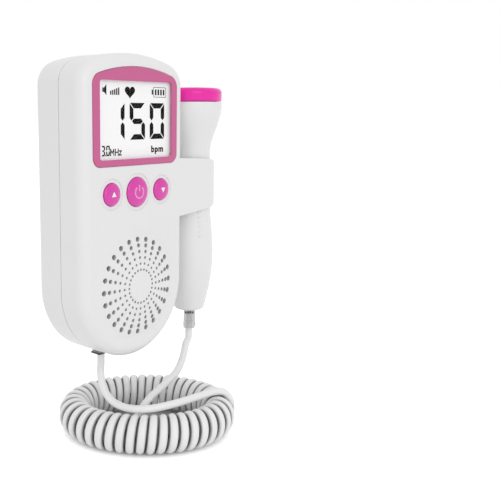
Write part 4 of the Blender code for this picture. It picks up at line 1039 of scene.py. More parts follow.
    def grille_holes(self) -> bpy.types.Object:
        """Every hole of the grille: spokes of flared bores that grow outwards.

        Ring k lies at radius first + k (last - first) / 5, and its bore's radius
        grows with the square of k.  The mouth flares by the lip where it meets the dome.

        Returns:
            The cutter.
        """
        share = np.linspace(0.0, 1.0, self.rings)
        ring = self.first_ring + (self.last_ring - self.first_ring) * share
        bore = self.first_hole + (self.last_hole - self.first_hole) * share**2
        surface = self.front - self.dome_depth(ring)
        lip = self.hole_lip
        radii = np.stack([bore + 3 * lip, bore + lip, bore + 0.3 * lip, bore, bore], axis=1)
        depths = np.stack([
            surface - 2 * lip, surface, surface + 0.7 * lip, surface + 2 * lip,
            np.full(self.rings, self.inner_front + CUT),
        ], axis=1)
        around = np.arange(self.hole_sides) * TAU / self.hole_sides
        spoke = np.arange(self.spokes) * TAU / self.spokes
        centre_x = ring[None, :] * np.cos(spoke)[:, None]
        centre_z = ring[None, :] * np.sin(spoke)[:, None]
        x = centre_x[:, :, None, None] + radii[None, :, :, None] * np.cos(around)
        z = centre_z[:, :, None, None] + radii[None, :, :, None] * np.sin(around)
        y = np.broadcast_to(depths[None, :, :, None], x.shape)
        buffer = MeshBuffer()
        for grid in np.stack([x, y, z], axis=-1).reshape(-1, radii.shape[1], self.hole_sides, 3):
            buffer.add_grid(grid)
        return buffer.build("grille_holes")

    def recess(self) -> bpy.types.Object:
        """Cutter for the bezel's recess, with a rounded lip.

        Returns:
            The cutter.
        """
        edge = rounding(0.3 * MM, 5)
        outlines = [self.bezel_outline(self.bezel_gap + inset) for inset in edge[:, 0]]
        places = list(self.front + edge[:, 1])
        return run_through(outlines, places, self.front - CUT, self.front + self.bezel_recess, "recess")

    def key_bore(self, x: float, radius: float) -> bpy.types.Object:
        """Cutter for one key's bore with the shallow dish round it.

        The dish steps down steeply at its rim, then its floor climbs back towards the
        bore: depth = full depth times (1 - 0.55 s^2), s running from the rim inwards.

        Args:
            x: The key's place across.
            radius: The key's radius.

        Returns:
            The cutter.
        """
        bore = radius + self.key_gap
        rim = radius + GAP + self.halo
        deep = self.halo_depth
        fall = rounding(deep, 5)
        rim_part = np.stack([rim + deep * 0.6 - fall[:, 1], self.front + deep - fall[::-1, 1]], axis=1)
        step = np.linspace(0.0, 1.0, 9)[1:]
        floor_start = rim_part[-1, 0]
        floor_part = np.stack([
            floor_start + (bore + 0.1 * MM - floor_start) * step, self.front + deep * (1.0 - 0.55 * step**2),
        ], axis=1)
        lip = np.array([[bore, floor_part[-1, 1] + 0.12 * MM], [bore, self.inner_front + CUT]])
        start = np.array([[rim_part[0, 0], self.front - CUT]])
        profile = np.concatenate([start, rim_part, floor_part, lip])
        return MeshBuffer().add_grid(turned(profile, (x, self.key_z), Axis.BACK, 80)).build("key_bore")

    def clip_plan(self) -> np.ndarray:
        """Plan of the clip: a tangent arm, a half ring and an inner arm.

        Returns:
            Points (x, y).
        """
        start = np.array([self.half_width - self.edge_round, self.front])
        centre = np.array([self.probe_x, self.probe_y])
        away = centre - start
        lean = math.asin(self.clip_outer / np.linalg.norm(away))
        tangent = math.atan2(away[1], away[0]) - lean - QUARTER
        outer = arc(tuple(centre), self.clip_outer, tangent, self.clip_tip, 40)
        inner = arc(tuple(centre), self.clip_inner, self.clip_tip, -math.pi, 48)
        wall = self.half_width - self.wall / 2
        arm = np.array([
            [self.probe_x - self.clip_inner, self.probe_y + 7.0 * MM],
            [self.probe_x - self.clip_outer, self.probe_y + 7.0 * MM], [self.probe_x - self.clip_outer, self.seam],
            [wall, self.seam - 3.2 * MM], [wall, self.seam - 9.6 * MM], [start[0], self.front + self.wall / 2],
        ])
        return np.concatenate([start[None], outer, inner, arm])

    def clip_edge(self, x: np.ndarray, root: float, tip: float) -> np.ndarray:
        """Height of one of the clip's slanting edges: a straight line from root to tip."""
        root_x = self.half_width - self.edge_round
        return root + (tip - root) * (x - root_x) / (self.probe_x + self.clip_outer - root_x)

    def clip(self) -> bpy.types.Object:
        """The probe clip between its slanting edges, with a tongue's round tip and soft edges.

        Each corner of the tip is a quarter of an ellipse seen from the front.

        Returns:
            The clip.
        """
        plan = self.clip_plan()
        edges = ((*self.clip_high, 1.0), (*self.clip_low, -1.0))
        high, low = (self.clip_edge(plan[:, 0], root, tip) for root, tip, _ in edges)
        rows = [np.column_stack([plan, low]), np.column_stack([plan, high])]
        clip = MeshBuffer().add_grid(np.stack(rows)).build("clip")
        end = self.probe_x + self.clip_outer * math.cos(self.clip_tip)
        start = end - self.tip_reach
        for root, tip, side in edges:
            edge = float(self.clip_edge(np.array(start), root, tip))
            low_edge = edge - side * self.tip_rise
            ellipse = arc((0.0, 0.0), 1.0, QUARTER, 0.0, 24) * np.array([self.tip_reach, side * self.tip_rise])
            past, clear = end + 1.6 * MM, edge + side * CUT
            rest = np.array([[past, low_edge], [past, clear], [start, clear]])
            corner = np.concatenate([ellipse + np.array([start, low_edge]), rest])
            tool = MeshBuffer().add_prism(corner, self.probe_y - self.clip_outer - CUT, self.probe_y)
            join(clip, tool.build("corner"), Cut.AWAY)
        return soften(clip, 0.62 * MM, 4, 42.0)

    def front_shell(self) -> None:
        """The front shell, with its grille, recesses and clip."""
        shell = self.shell(self.front, self.seam - GAP / 2, "front_housing")
        join(shell, self.dome(self.front, self.front + self.wall / 2), Cut.TOGETHER)
        join(shell, self.clip(), Cut.TOGETHER)
        join(shell, self.hollow(self.front, self.seam), Cut.AWAY)
        join(shell, self.dome(self.inner_front, self.inner_front + CUT), Cut.AWAY)
        join(shell, self.recess(), Cut.AWAY)
        grow = self.lcd_lap + GAP
        view = rounded_box(
            -self.view_half - grow, self.view_half + grow, self.view_low - grow, self.view_high + grow, 1.0 * MM
        )
        opening = MeshBuffer().add_prism(view, self.front, self.inner_front + CUT)
        join(shell, opening.build("opening"), Cut.AWAY)
        for x, radius in ((-self.key_spacing, self.volume_radius), (0.0, self.power_radius),
                          (self.key_spacing, self.volume_radius)):
            join(shell, self.key_bore(x, radius), Cut.AWAY)
        join(shell, self.grille_holes(), Cut.AWAY)
        centre = np.array([0.0, self.front - self.grille_rise + self.ball_radius, 0.0])
        settle(shell, (centre, self.ball_radius))
        dress(shell, HOUSING_WHITE, Body.HOUSING, "shell_white", "front_shell")
        self.shade_bores(shell)

    def shade_bores(self, shell: bpy.types.Object) -> None:
        """Give the walls of the grille's holes the deeper tone that they have in the shade.

        A wall is a face within the last ring's reach whose normal lies less than half along Y.

        Args:
            shell: The finished front shell.
        """
        faces = shell.data.polygons
        normals, middles = np.empty((len(faces), 3), np.float32), np.empty((len(faces), 3), np.float32)
        faces.foreach_get("normal", normals.ravel())
        faces.foreach_get("center", middles.ravel())
        within = np.hypot(middles[:, 0], middles[:, 2]) < self.last_ring + self.last_hole + 0.1 * MM
        walls = within & (np.abs(normals[:, 1]) < 0.5)
        shell.data.materials.append(BORE_SHADE.material())
        faces.foreach_set("material_index", walls.astype(np.int32))
        log.info("%d faces of the grille's bores are in the shade", int(walls.sum()))


@dataclass
class RearHousing:
    """The rear shell's openings and the battery cover."""

    housing: Housing
    bay_half: float = 15.2 * MM
    bay_low: float = 30.6 * MM
    bay_high: float = 87.9 * MM
    bay_floor: float = -16.9 * MM
    bay_wall: float = 1.4 * MM
    cover_thick: float = 1.5 * MM
    ledge: float = 2.2 * MM
    corner: float = 3.0 * MM
    screw_head: float = 2.4 * MM
    screw_sink: float = 3.0 * MM
    screw_bore: float = 1.5 * MM
    post_radius: float = 3.55 * MM
    post_base: float = -1.2 * MM
    hook_x: float = 10.0 * MM
    hook_half: float = 2.5 * MM
    socket_y: float = -7.0 * MM
    phone_angle: float = math.radians(-61.27)
    phone_y: float = -9.0 * MM

    def screw_places(self) -> list[tuple[float, float]]:
        """Where the four screws go in, as (x, z): the middles of their solids."""
        boxes = [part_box(f"case_screw_{i}") for i in (1, 2, 3, 4)]
        return [((low[0] + high[0]) / 2.0, (low[2] + high[2]) / 2.0) for low, high in boxes]

    def rear_shell(self) -> None:
        """The rear shell with its bay, screw wells and socket mouths."""
        housing = self.housing
        shell = housing.shell(0.0, housing.seam + GAP / 2, "rear_housing")
        join(shell, housing.hollow(0.0, housing.seam), Cut.AWAY)
        side = self.bay_half + self.bay_wall
        block = rounded_box(-side, side, self.bay_low - self.bay_wall, self.bay_high + self.bay_wall, 0.5 * MM, 2)
        bay = MeshBuffer().add_prism(block, self.bay_floor - self.bay_wall, self.post_base).build("bay")
        join(shell, bay, Cut.TOGETHER)
        edge = rounding(0.3 * MM, 4)
        wells = MeshBuffer()
        side, sunk = self.post_radius, -self.screw_sink - 1.9 * MM
        for x, z in self.screw_places():
            post = turned([(side, housing.seam + GAP / 2), (side, self.post_base)], (x, z), Axis.BACK, 32)
            join(shell, MeshBuffer().add_grid(post).build("post"), Cut.TOGETHER)
            mouth = self.screw_head + GAP
            profile = [(mouth + 0.6 * MM, CUT)]
            profile += [(mouth + inset, -depth) for inset, depth in edge]
            profile += [(mouth, sunk), (self.screw_bore, sunk), (self.screw_bore, housing.seam - CUT)]
            wells.add_grid(turned(profile, (x, z), Axis.BACK, 40))
        join(shell, wells.build("wells"), Cut.AWAY)
        outlines = [self.cover_outline(GAP + inset) for inset in edge[:, 0]]
        join(shell, run_through(outlines, list(-edge[:, 1]), CUT, -self.cover_thick - GAP, "seat"), Cut.AWAY)
        room = rounded_box(-self.bay_half, self.bay_half, self.bay_low, self.bay_high, 0.4 * MM, 2)
        join(shell, MeshBuffer().add_prism(room, self.bay_floor, CUT).build("room"), Cut.AWAY)
        notch = turned(
            [(7.0 * MM, CUT), (6.3 * MM, 0.0), (5.6 * MM, -0.8 * MM), (0.0, -1.2 * MM)],
            (0.0, self.bay_high + self.ledge - GAP), Axis.BACK, 48,
        )
        join(shell, MeshBuffer().add_grid(notch).build("notch"), Cut.AWAY)
        slots = MeshBuffer()
        half, low = self.hook_half + GAP, self.bay_low - self.ledge - 1.6 * MM
        for x in (-self.hook_x, self.hook_x):
            slot = rounded_box(x - half, x + half, low, self.bay_low + CUT, 0.2 * MM, 2)
            slots.add_prism(slot, -4.1 * MM, self.post_base)
        join(shell, slots.build("slots"), Cut.AWAY)
        join(shell, self.mouths(), Cut.AWAY)
        settle(shell)
        dress(shell, HOUSING_WHITE, Body.HOUSING, "shell_white", "rear_shell")

    def mouths(self) -> bpy.types.Object:
        """Cutter for the cord socket's and the headphone socket's mouths.

        Returns:
            The cutter.
        """
        buffer = MeshBuffer().add_prism(socket_mouth(self.socket_y), -34.5 * MM, -26.5 * MM, Axis.UP)
        steps = np.arange(40) * TAU / 40
        rows = []
        direction = np.array([math.cos(self.phone_angle), 0.0, math.sin(self.phone_angle)])
        across = np.array([-direction[2], 0.0, direction[0]])
        for radius, along in ((3.3, 28.1), (3.3, 32.2), (3.9, 33.5), (3.9, 35.0)):
            ring = np.cos(steps)[:, None] * across + np.sin(steps)[:, None] * np.array([0.0, 1.0, 0.0])
            centre = direction * along * MM + np.array([0.0, self.phone_y, 0.0])
            rows.append(centre + ring * radius * MM)
        return buffer.add_grid(np.stack(rows)).build("mouths")

    def cover_outline(self, grow: float) -> np.ndarray:
        """Outline of the battery cover grown by an amount.

        Args:
            grow: How far it is grown.

        Returns:
            Points (x, z).
        """
        half = self.bay_half + self.ledge - GAP + grow
        low = self.bay_low - self.ledge + GAP - grow
        high = self.bay_high + self.ledge - GAP + grow
        return rounded_box(-half, half, low, high, self.corner + grow, 10)

    def battery_cover(self) -> None:
        """The battery cover: a softly edged plate with grip grooves and two hooks."""
        edge = rounding(0.4 * MM, 4)
        cover = edged(lambda inset: self.cover_outline(-inset), edge, 0.0, -self.cover_thick, "battery_door")
        grooves = MeshBuffer()
        top = self.bay_high + self.ledge - GAP - 6.0 * MM
        for i in range(5):
            z = top - 2.4 * MM * i
            wide = rounded_box(-7.25 * MM, 7.25 * MM, z - 1.25 * MM, z + 0.25 * MM, 0.7 * MM, 6)
            thin = rounded_box(-7.0 * MM, 7.0 * MM, z - 1.0 * MM, z, 0.45 * MM, 6)
            grooves.add_grid(stack([wide, wide, thin], [CUT, 0.0, -0.5 * MM]))
        join(cover, grooves.build("grooves"), Cut.AWAY)
        mark = np.array([[-2.6, 0.0], [2.6, 0.0], [0.0, -3.6]]) * MM + np.array([0.0, top - 14.0 * MM])
        join(cover, MeshBuffer().add_prism(mark, -0.25 * MM, CUT).build("mark"), Cut.AWAY)
        side = np.array([[-1.5, -1.6], [-3.2, -1.6], [-3.2, 1.4], [-0.75, 1.4], [-0.75, 0.3], [-1.5, 0.3]]) * MM
        side += np.array([0.0, self.bay_low - self.ledge + GAP])
        for x in (-self.hook_x, self.hook_x):
            hook = MeshBuffer().add_prism(side, x - self.hook_half, x + self.hook_half, Axis.ACROSS)
            join(cover, hook.build("hook"), Cut.TOGETHER)
        settle(cover)
        dress(cover, HOUSING_WHITE, Body.COVER, "shell_white", "battery_cover")


@dataclass
class Display:
    """The pink bezel, the clear window, and the panel with its lit signs."""

    housing: Housing
    proud: float = 0.4 * MM
    lip: float = 0.5 * MM
    lap: float = 0.9 * MM
    corner: float = 1.2 * MM
    panel_thick: float = 2.0 * MM
    ink: float = 0.04 * MM
    digit_rows: tuple[float, float] = (0.270, 0.762)
    segment: float = 2.8 * MM
    segment_gap: float = 0.46 * MM
    small_rows: tuple[float, float] = (0.816, 0.953)
    small_segment: float = 0.88 * MM
    small_gap: float = 0.16 * MM
    letter_stroke: float = 0.5 * MM

    @property
    def window_back(self) -> float:
        """Depth of the window's and the bezel's back."""
        return self.housing.front + self.housing.bezel_recess - GAP

    @property
    def panel_front(self) -> float:
        """Depth of the display panel's face."""
        return self.window_back + GAP

    def view(self, grow: float, radius: float) -> np.ndarray:
        """The viewing area grown by an amount.

        Args:
            grow: How far it is grown.
            radius: Radius of its corners.

        Returns:
            Points (x, z).
        """
        housing = self.housing
        half = housing.view_half + grow
        return rounded_box(-half, half, housing.view_low - grow, housing.view_high + grow, radius, 10)

    def bezel(self) -> None:
        """The bezel: a plate with a round outer edge, cut by the flared view and the window's seat."""
        face = self.housing.front - self.proud
        edge = rounding(0.55 * MM, 6)
        piece = edged(lambda inset: self.housing.bezel_outline(-inset), edge, face, self.window_back, "bezel")
        lip = rounding(0.25 * MM, 4)
        outlines = [self.view(inset, self.corner + inset) for inset in lip[:, 0]]
        join(piece, run_through(outlines, list(face + lip[:, 1]), face - CUT, self.window_back, "view"), Cut.AWAY)
        seat = self.view(self.lap + GAP, self.corner)
        join(piece, MeshBuffer().add_prism(seat, face + self.lip, self.window_back + CUT).build("seat"), Cut.AWAY)
        settle(piece)
        dress(piece, BEZEL_PINK, Body.HOUSING, "bezel_pink", "display_bezel")

    def window(self) -> None:
        """The clear window, with softened edges."""
        front = self.housing.front - self.proud + self.lip + GAP
        edge = rounding(0.12 * MM, 3)
        piece = edged(
            lambda inset: self.view(self.lap - inset, self.corner), edge, front, self.window_back, "window",
        )
        settle(piece)
        dress(piece, WINDOW_CLEAR, Body.HOUSING, "clear_plastic", "display_window")

    def panel(self) -> None:
        """The white display panel."""
        grow = self.housing.lcd_lap
        outline = self.view(grow, 0.6 * MM)
        back = self.panel_front + self.panel_thick
        piece = MeshBuffer().add_prism(outline, self.panel_front, back).build("display_glass")
        soften(piece, 0.1 * MM, 2)
        settle(piece)
        dress(piece, DISPLAY_WHITE, Body.HOUSING, "display_grey", "lcd_panel")

    def place(self, shares: np.ndarray) -> np.ndarray:
        """Points given as shares of the view, right and down from its top left.

        Args:
            shares: Shares of the view's width and height.

        Returns:
            Points (x, z).
        """
        shares = np.asarray(shares, float)
        housing = self.housing
        width, height = 2.0 * housing.view_half, housing.view_high - housing.view_low
        across = shares[..., 0] * width - housing.view_half
        return np.stack([across, housing.view_high - shares[..., 1] * height], axis=-1)

    def stroke(self, start: tuple[float, float], end: tuple[float, float], width: float) -> np.ndarray:
        """A straight bar between two places of the view, half its width longer at each end.

        Args:
            start: First end, as shares of the view.
            end: Other end.
            width: Its width.

        Returns:
            Its outline.
        """
        first, last = self.place(start), self.place(end)
        along = (last - first) / np.linalg.norm(last - first) * width / 2.0
        side = np.array([-along[1], along[0]])
        return np.array([first - along + side, last + along + side, last + along - side, first - along - side])

    def digit(self, buffer: MeshBuffer, lit: str, box: tuple[float, float, float, float], width: float,
              gap: float) -> None:
        """Add a seven-segment digit with mitred segments.

        Neighbouring segments meet on slanting lines through the box's corners and the
        middles of its sides, and each is then drawn in by half the gap.

        Args:
            buffer: The mesh that gets it.
            lit: Letters of the lit segments, a to g.
            box: Left, right, top and bottom of the digit, as shares of the view.
            width: Segment width.
            gap: Gap between segments.
        """
        (x0, z1), (x1, z0) = self.place((box[0], box[2])), self.place((box[1], box[3]))
        m, w, h = (z0 + z1) / 2.0, width, width / 2.0
        shapes = {
            "a": [(x0, z1), (x1, z1), (x1 - w, z1 - w), (x0 + w, z1 - w)],
            "b": [(x1, z1), (x1 - w, z1 - w), (x1 - w, m + h), (x1 - h, m), (x1, m + h)],
            "c": [(x1, z0), (x1 - w, z0 + w), (x1 - w, m - h), (x1 - h, m), (x1, m - h)],
            "d": [(x0, z0), (x1, z0), (x1 - w, z0 + w), (x0 + w, z0 + w)],
            "e": [(x0, z0), (x0 + w, z0 + w), (x0 + w, m - h), (x0 + h, m), (x0, m - h)],
            "f": [(x0, z1), (x0 + w, z1 - w), (x0 + w, m + h), (x0 + h, m), (x0, m + h)],
            "g": [(x0 + h, m), (x0 + w, m + h), (x1 - w, m + h), (x1 - h, m), (x1 - w, m - h), (x0 + w, m - h)],
        }
        for letter in lit:
            self.ink_on(buffer, drawn_in(np.array(shapes[letter]), gap / 2.0))

    def ink_on(self, buffer: MeshBuffer, outline: np.ndarray) -> None:
        """Add an inked outline lying on the panel's face."""
        buffer.add_prism(outline, self.panel_front - self.ink, self.panel_front - self.ink / 10.0)

    def bar(self, buffer: MeshBuffer, left: float, right: float, top: float, bottom: float) -> None:
        """Add an upright rectangle given by its edges, as shares of the view."""
        self.ink_on(buffer, self.place([(left, top), (right, top), (right, bottom), (left, bottom)]))

    def signs(self) -> None:
        """All dark signs: digits, loudspeaker with bars, heart, battery and units."""
        buffer = MeshBuffer()
        for lit, left, right in (("bc", 0.136, 0.362), ("afgcd", 0.422, 0.649), ("abcdef", 0.708, 0.933)):
            self.digit(buffer, lit, (left, right, *self.digit_rows), self.segment, self.segment_gap)
        for lit, left, right in (("abgcd", 0.045, 0.098), ("abcdef", 0.108, 0.160)):
            self.digit(buffer, lit, (left, right, *self.small_rows), self.small_segment, self.small_gap)
        self.bar(buffer, 0.0985, 0.107, 0.936, 0.951)
        for i in range(5):
            left = 0.166 + 0.0262 * i
            self.bar(buffer, left, left + 0.0165, 0.131 - 0.011 * i, 0.181)
        self.bar(buffer, 0.066, 0.085, 0.094, 0.148)
        self.ink_on(buffer, self.place([(0.087, 0.094), (0.118, 0.052), (0.118, 0.187), (0.087, 0.148)]))
        turn = np.linspace(0.0, TAU, 64, endpoint=False)
        heart = np.stack([16.0 * np.sin(turn) ** 3, -(13.0 * np.cos(turn) - 5.0 * np.cos(2 * turn)
                          - 2.0 * np.cos(3 * turn) - np.cos(4 * turn))], axis=1)
        self.ink_on(buffer, self.place(np.array([0.432, 0.136]) + heart * np.array([0.0044, 0.0054])))
        for i in range(4):
            left = 0.788 + 0.0395 * i
            self.bar(buffer, left, left + 0.0235, 0.096, 0.171)
        self.bar(buffer, 0.7415, 0.761, 0.100, 0.164)
        case = self.place(rounded_box(0.764, 0.952, 0.066, 0.200, 0.012, 4))
        inside = self.place(rounded_box(0.769, 0.947, 0.073, 0.193, 0.009, 4))
        near, far = self.panel_front - self.ink, self.panel_front - self.ink / 10.0
        rows = stack([case, case, inside, inside], [far, near, near, far])
        buffer.add_grid(rows, ring_closed=True)
        self.letters(buffer)
        piece = buffer.build("display_signs")
        dress(piece, DISPLAY_INK, Body.HOUSING, "black_plastic")

    def letters(self, buffer: MeshBuffer) -> None:
        """The unit beside the frequency, drawn with thin strokes.

        Args:
            buffer: The mesh that gets them.
        """
        top, low = 0.869, 0.945
        strokes = [
            ((0.168, low), (0.168, top)), ((0.168, top), (0.189, 0.915)), ((0.189, 0.915), (0.211, top)),
            ((0.211, top), (0.211, low)),
            ((0.232, low), (0.232, top)), ((0.232, 0.907), (0.269, 0.907)), ((0.269, low), (0.269, top)),
            ((0.284, 0.892), (0.311, 0.892)), ((0.311, 0.892), (0.284, low)), ((0.284, low), (0.311, low)),
        ]
        for start, end in strokes:
            self.ink_on(buffer, self.stroke(start, end, self.letter_stroke))

    def unit_word(self) -> None:
        """The beats-per-minute unit, set in a plain bold face and made a mesh."""
        curve = bpy.data.curves.new("unit_word", "FONT")
        curve.body = "bpm"
        curve.size = 3.9 * MM
        curve.offset = 0.17 * MM
        curve.space_character = 1.14
        curve.extrude = self.ink / 2.0
        holder = placed("unit_word_text", curve)
        mesh = evaluated(holder)
        bpy.data.objects.remove(holder, do_unlink=True)
        left, low = self.place((0.733, 0.928))
        move = Matrix.Translation((left, self.panel_front - self.ink / 2.0, low))
        mesh.transform(move @ Matrix.Rotation(QUARTER, 4, "X") @ Matrix.Scale(1.1, 4, (1.0, 0.0, 0.0)))
        dress(placed("unit_word", mesh), DISPLAY_INK, Body.HOUSING, "black_plastic")


@dataclass
class Keys:
    """The three domed keys and their marks."""

    housing: Housing
    proud: float = 1.4 * MM
    flange: float = 1.0 * MM
    stem_radius: float = 1.5 * MM
    stem: float = 0.9 * MM
    mark_lift: float = 0.06 * MM
    symbol_lift: float = 0.12 * MM

    def cap_depth(self, radius: np.ndarray, cap: float) -> np.ndarray:
        """Depth of a cap's face: a flat ellipse arch, 1 - (r/R)^2.6, over its rounded rim."""
        share = np.clip(np.asarray(radius) / cap, 0.0, 1.0)
        return self.housing.front - self.proud * np.sqrt(np.clip(1.0 - share**2.6, 0.0, 1.0))

    def cap(self, name: str, node_name: str, x: float, radius: float, body: Body) -> None:
        """One key cap, with its flange and stem.

        Args:
            name: The piece's name.
            node_name: The CAD node that it replaces.
            x: Its place across.
            radius: Its radius.
            body: The body that it moves with.
        """
        housing = self.housing
        share = np.sin(np.linspace(0.0, QUARTER, 22))
        top = np.stack([radius * share, self.cap_depth(radius * share, radius)], axis=1)
        flange_front = housing.inner_front + GAP
        flange_back = flange_front + self.flange
        rest = np.array([
            [radius, flange_front], [radius + self.flange, flange_front], [radius + self.flange, flange_back],
            [self.stem_radius, flange_back], [self.stem_radius, flange_back + self.stem],
            [0.0, flange_back + self.stem],
        ])
        grid = turned(np.concatenate([top, rest]), (x, housing.key_z), Axis.BACK, 80)
        piece = MeshBuffer().add_grid(grid).build(name)
        settle(piece)
        dress(piece, KEY_MAGENTA, body, "button_magenta", node_name)

    def relief(self, name: str, outline: np.ndarray, inner: np.ndarray, x: float, radius: float, lift: float,
               body: Body, finish: Plastic) -> None:
        """A mark that lies on a cap's curved face, between two outlines.

        Args:
            name: The piece's name.
            outline: Outer outline about the cap's centre.
            inner: Inner outline with as many points, or the mark's own middle.
            x: The cap's place across.
            radius: The cap's radius.
            lift: Height above the cap.
            body: The body that it moves with.
            finish: Its finish.
        """
        steps = np.linspace(0.0, 1.0, 7)[:, None, None]
        rows = outline * (1.0 - steps) + inner * steps
        distance = np.linalg.norm(rows, axis=2)
        surface = self.cap_depth(distance, radius)
        edge = np.minimum(1.0, 4.0 * np.minimum(steps[..., 0] + 0.1, 1.0))
        front = np.stack([x + rows[..., 0], surface - lift * edge, self.housing.key_z + rows[..., 1]], axis=-1)
        back = np.stack([x + rows[..., 0], surface + 0.05 * MM, self.housing.key_z + rows[..., 1]], axis=-1)
        grid = np.concatenate([back[:1], front, back[::-1][:-1]])
        piece = MeshBuffer().add_grid(grid, ring_closed=True).build(name)
        smooth(piece, 40.0)
        dress(piece, finish, body, "button_magenta")

    def build(self) -> None:
        """Build all three keys with their marks."""
        housing = self.housing
        spacing = housing.key_spacing
        self.cap("power_key_cap", "power_button", 0.0, housing.power_radius, Body.POWER)
        self.cap("volume_up_cap", "volume_up_button", -spacing, housing.volume_radius, Body.UP)
        self.cap("volume_down_cap", "volume_down_button", spacing, housing.volume_radius, Body.DOWN)
        small, big, lift = housing.volume_radius, housing.power_radius, self.symbol_lift
        triangle = evenly(np.array([[-1.35, -0.85], [1.35, -0.85], [0.0, 1.35]]) * MM, 48)
        middle = np.tile(np.array([[0.0, -0.12 * MM]]), (48, 1))
        flipped = triangle * np.array([1.0, -1.0])
        self.relief("up_mark", triangle, middle, -spacing, small, self.mark_lift, Body.UP, KEY_MARK)
        self.relief("down_mark", flipped, -middle, spacing, small, self.mark_lift, Body.DOWN, KEY_MARK)
        gap = math.radians(38.0)
        outer, inner, spine = (
            arc((0.0, 0.0), radius, QUARTER + gap, QUARTER + TAU - gap, 60)
            for radius in (2.95 * MM, 2.25 * MM, 2.6 * MM)
        )
        ring = np.concatenate([outer, inner[::-1]])
        spine = np.concatenate([spine, spine[::-1]])
        self.relief("power_arc", ring, spine, 0.0, big, lift, Body.POWER, KEY_SYMBOL)
        bar = rounded_box(-0.35 * MM, 0.35 * MM, 0.4 * MM, 3.3 * MM, 0.33 * MM, 6)
        line = np.stack([np.zeros(len(bar)), np.clip(bar[:, 1], 0.75 * MM, 2.95 * MM)], axis=1)
        self.relief("power_bar", bar, line, 0.0, big, lift, Body.POWER, KEY_SYMBOL)


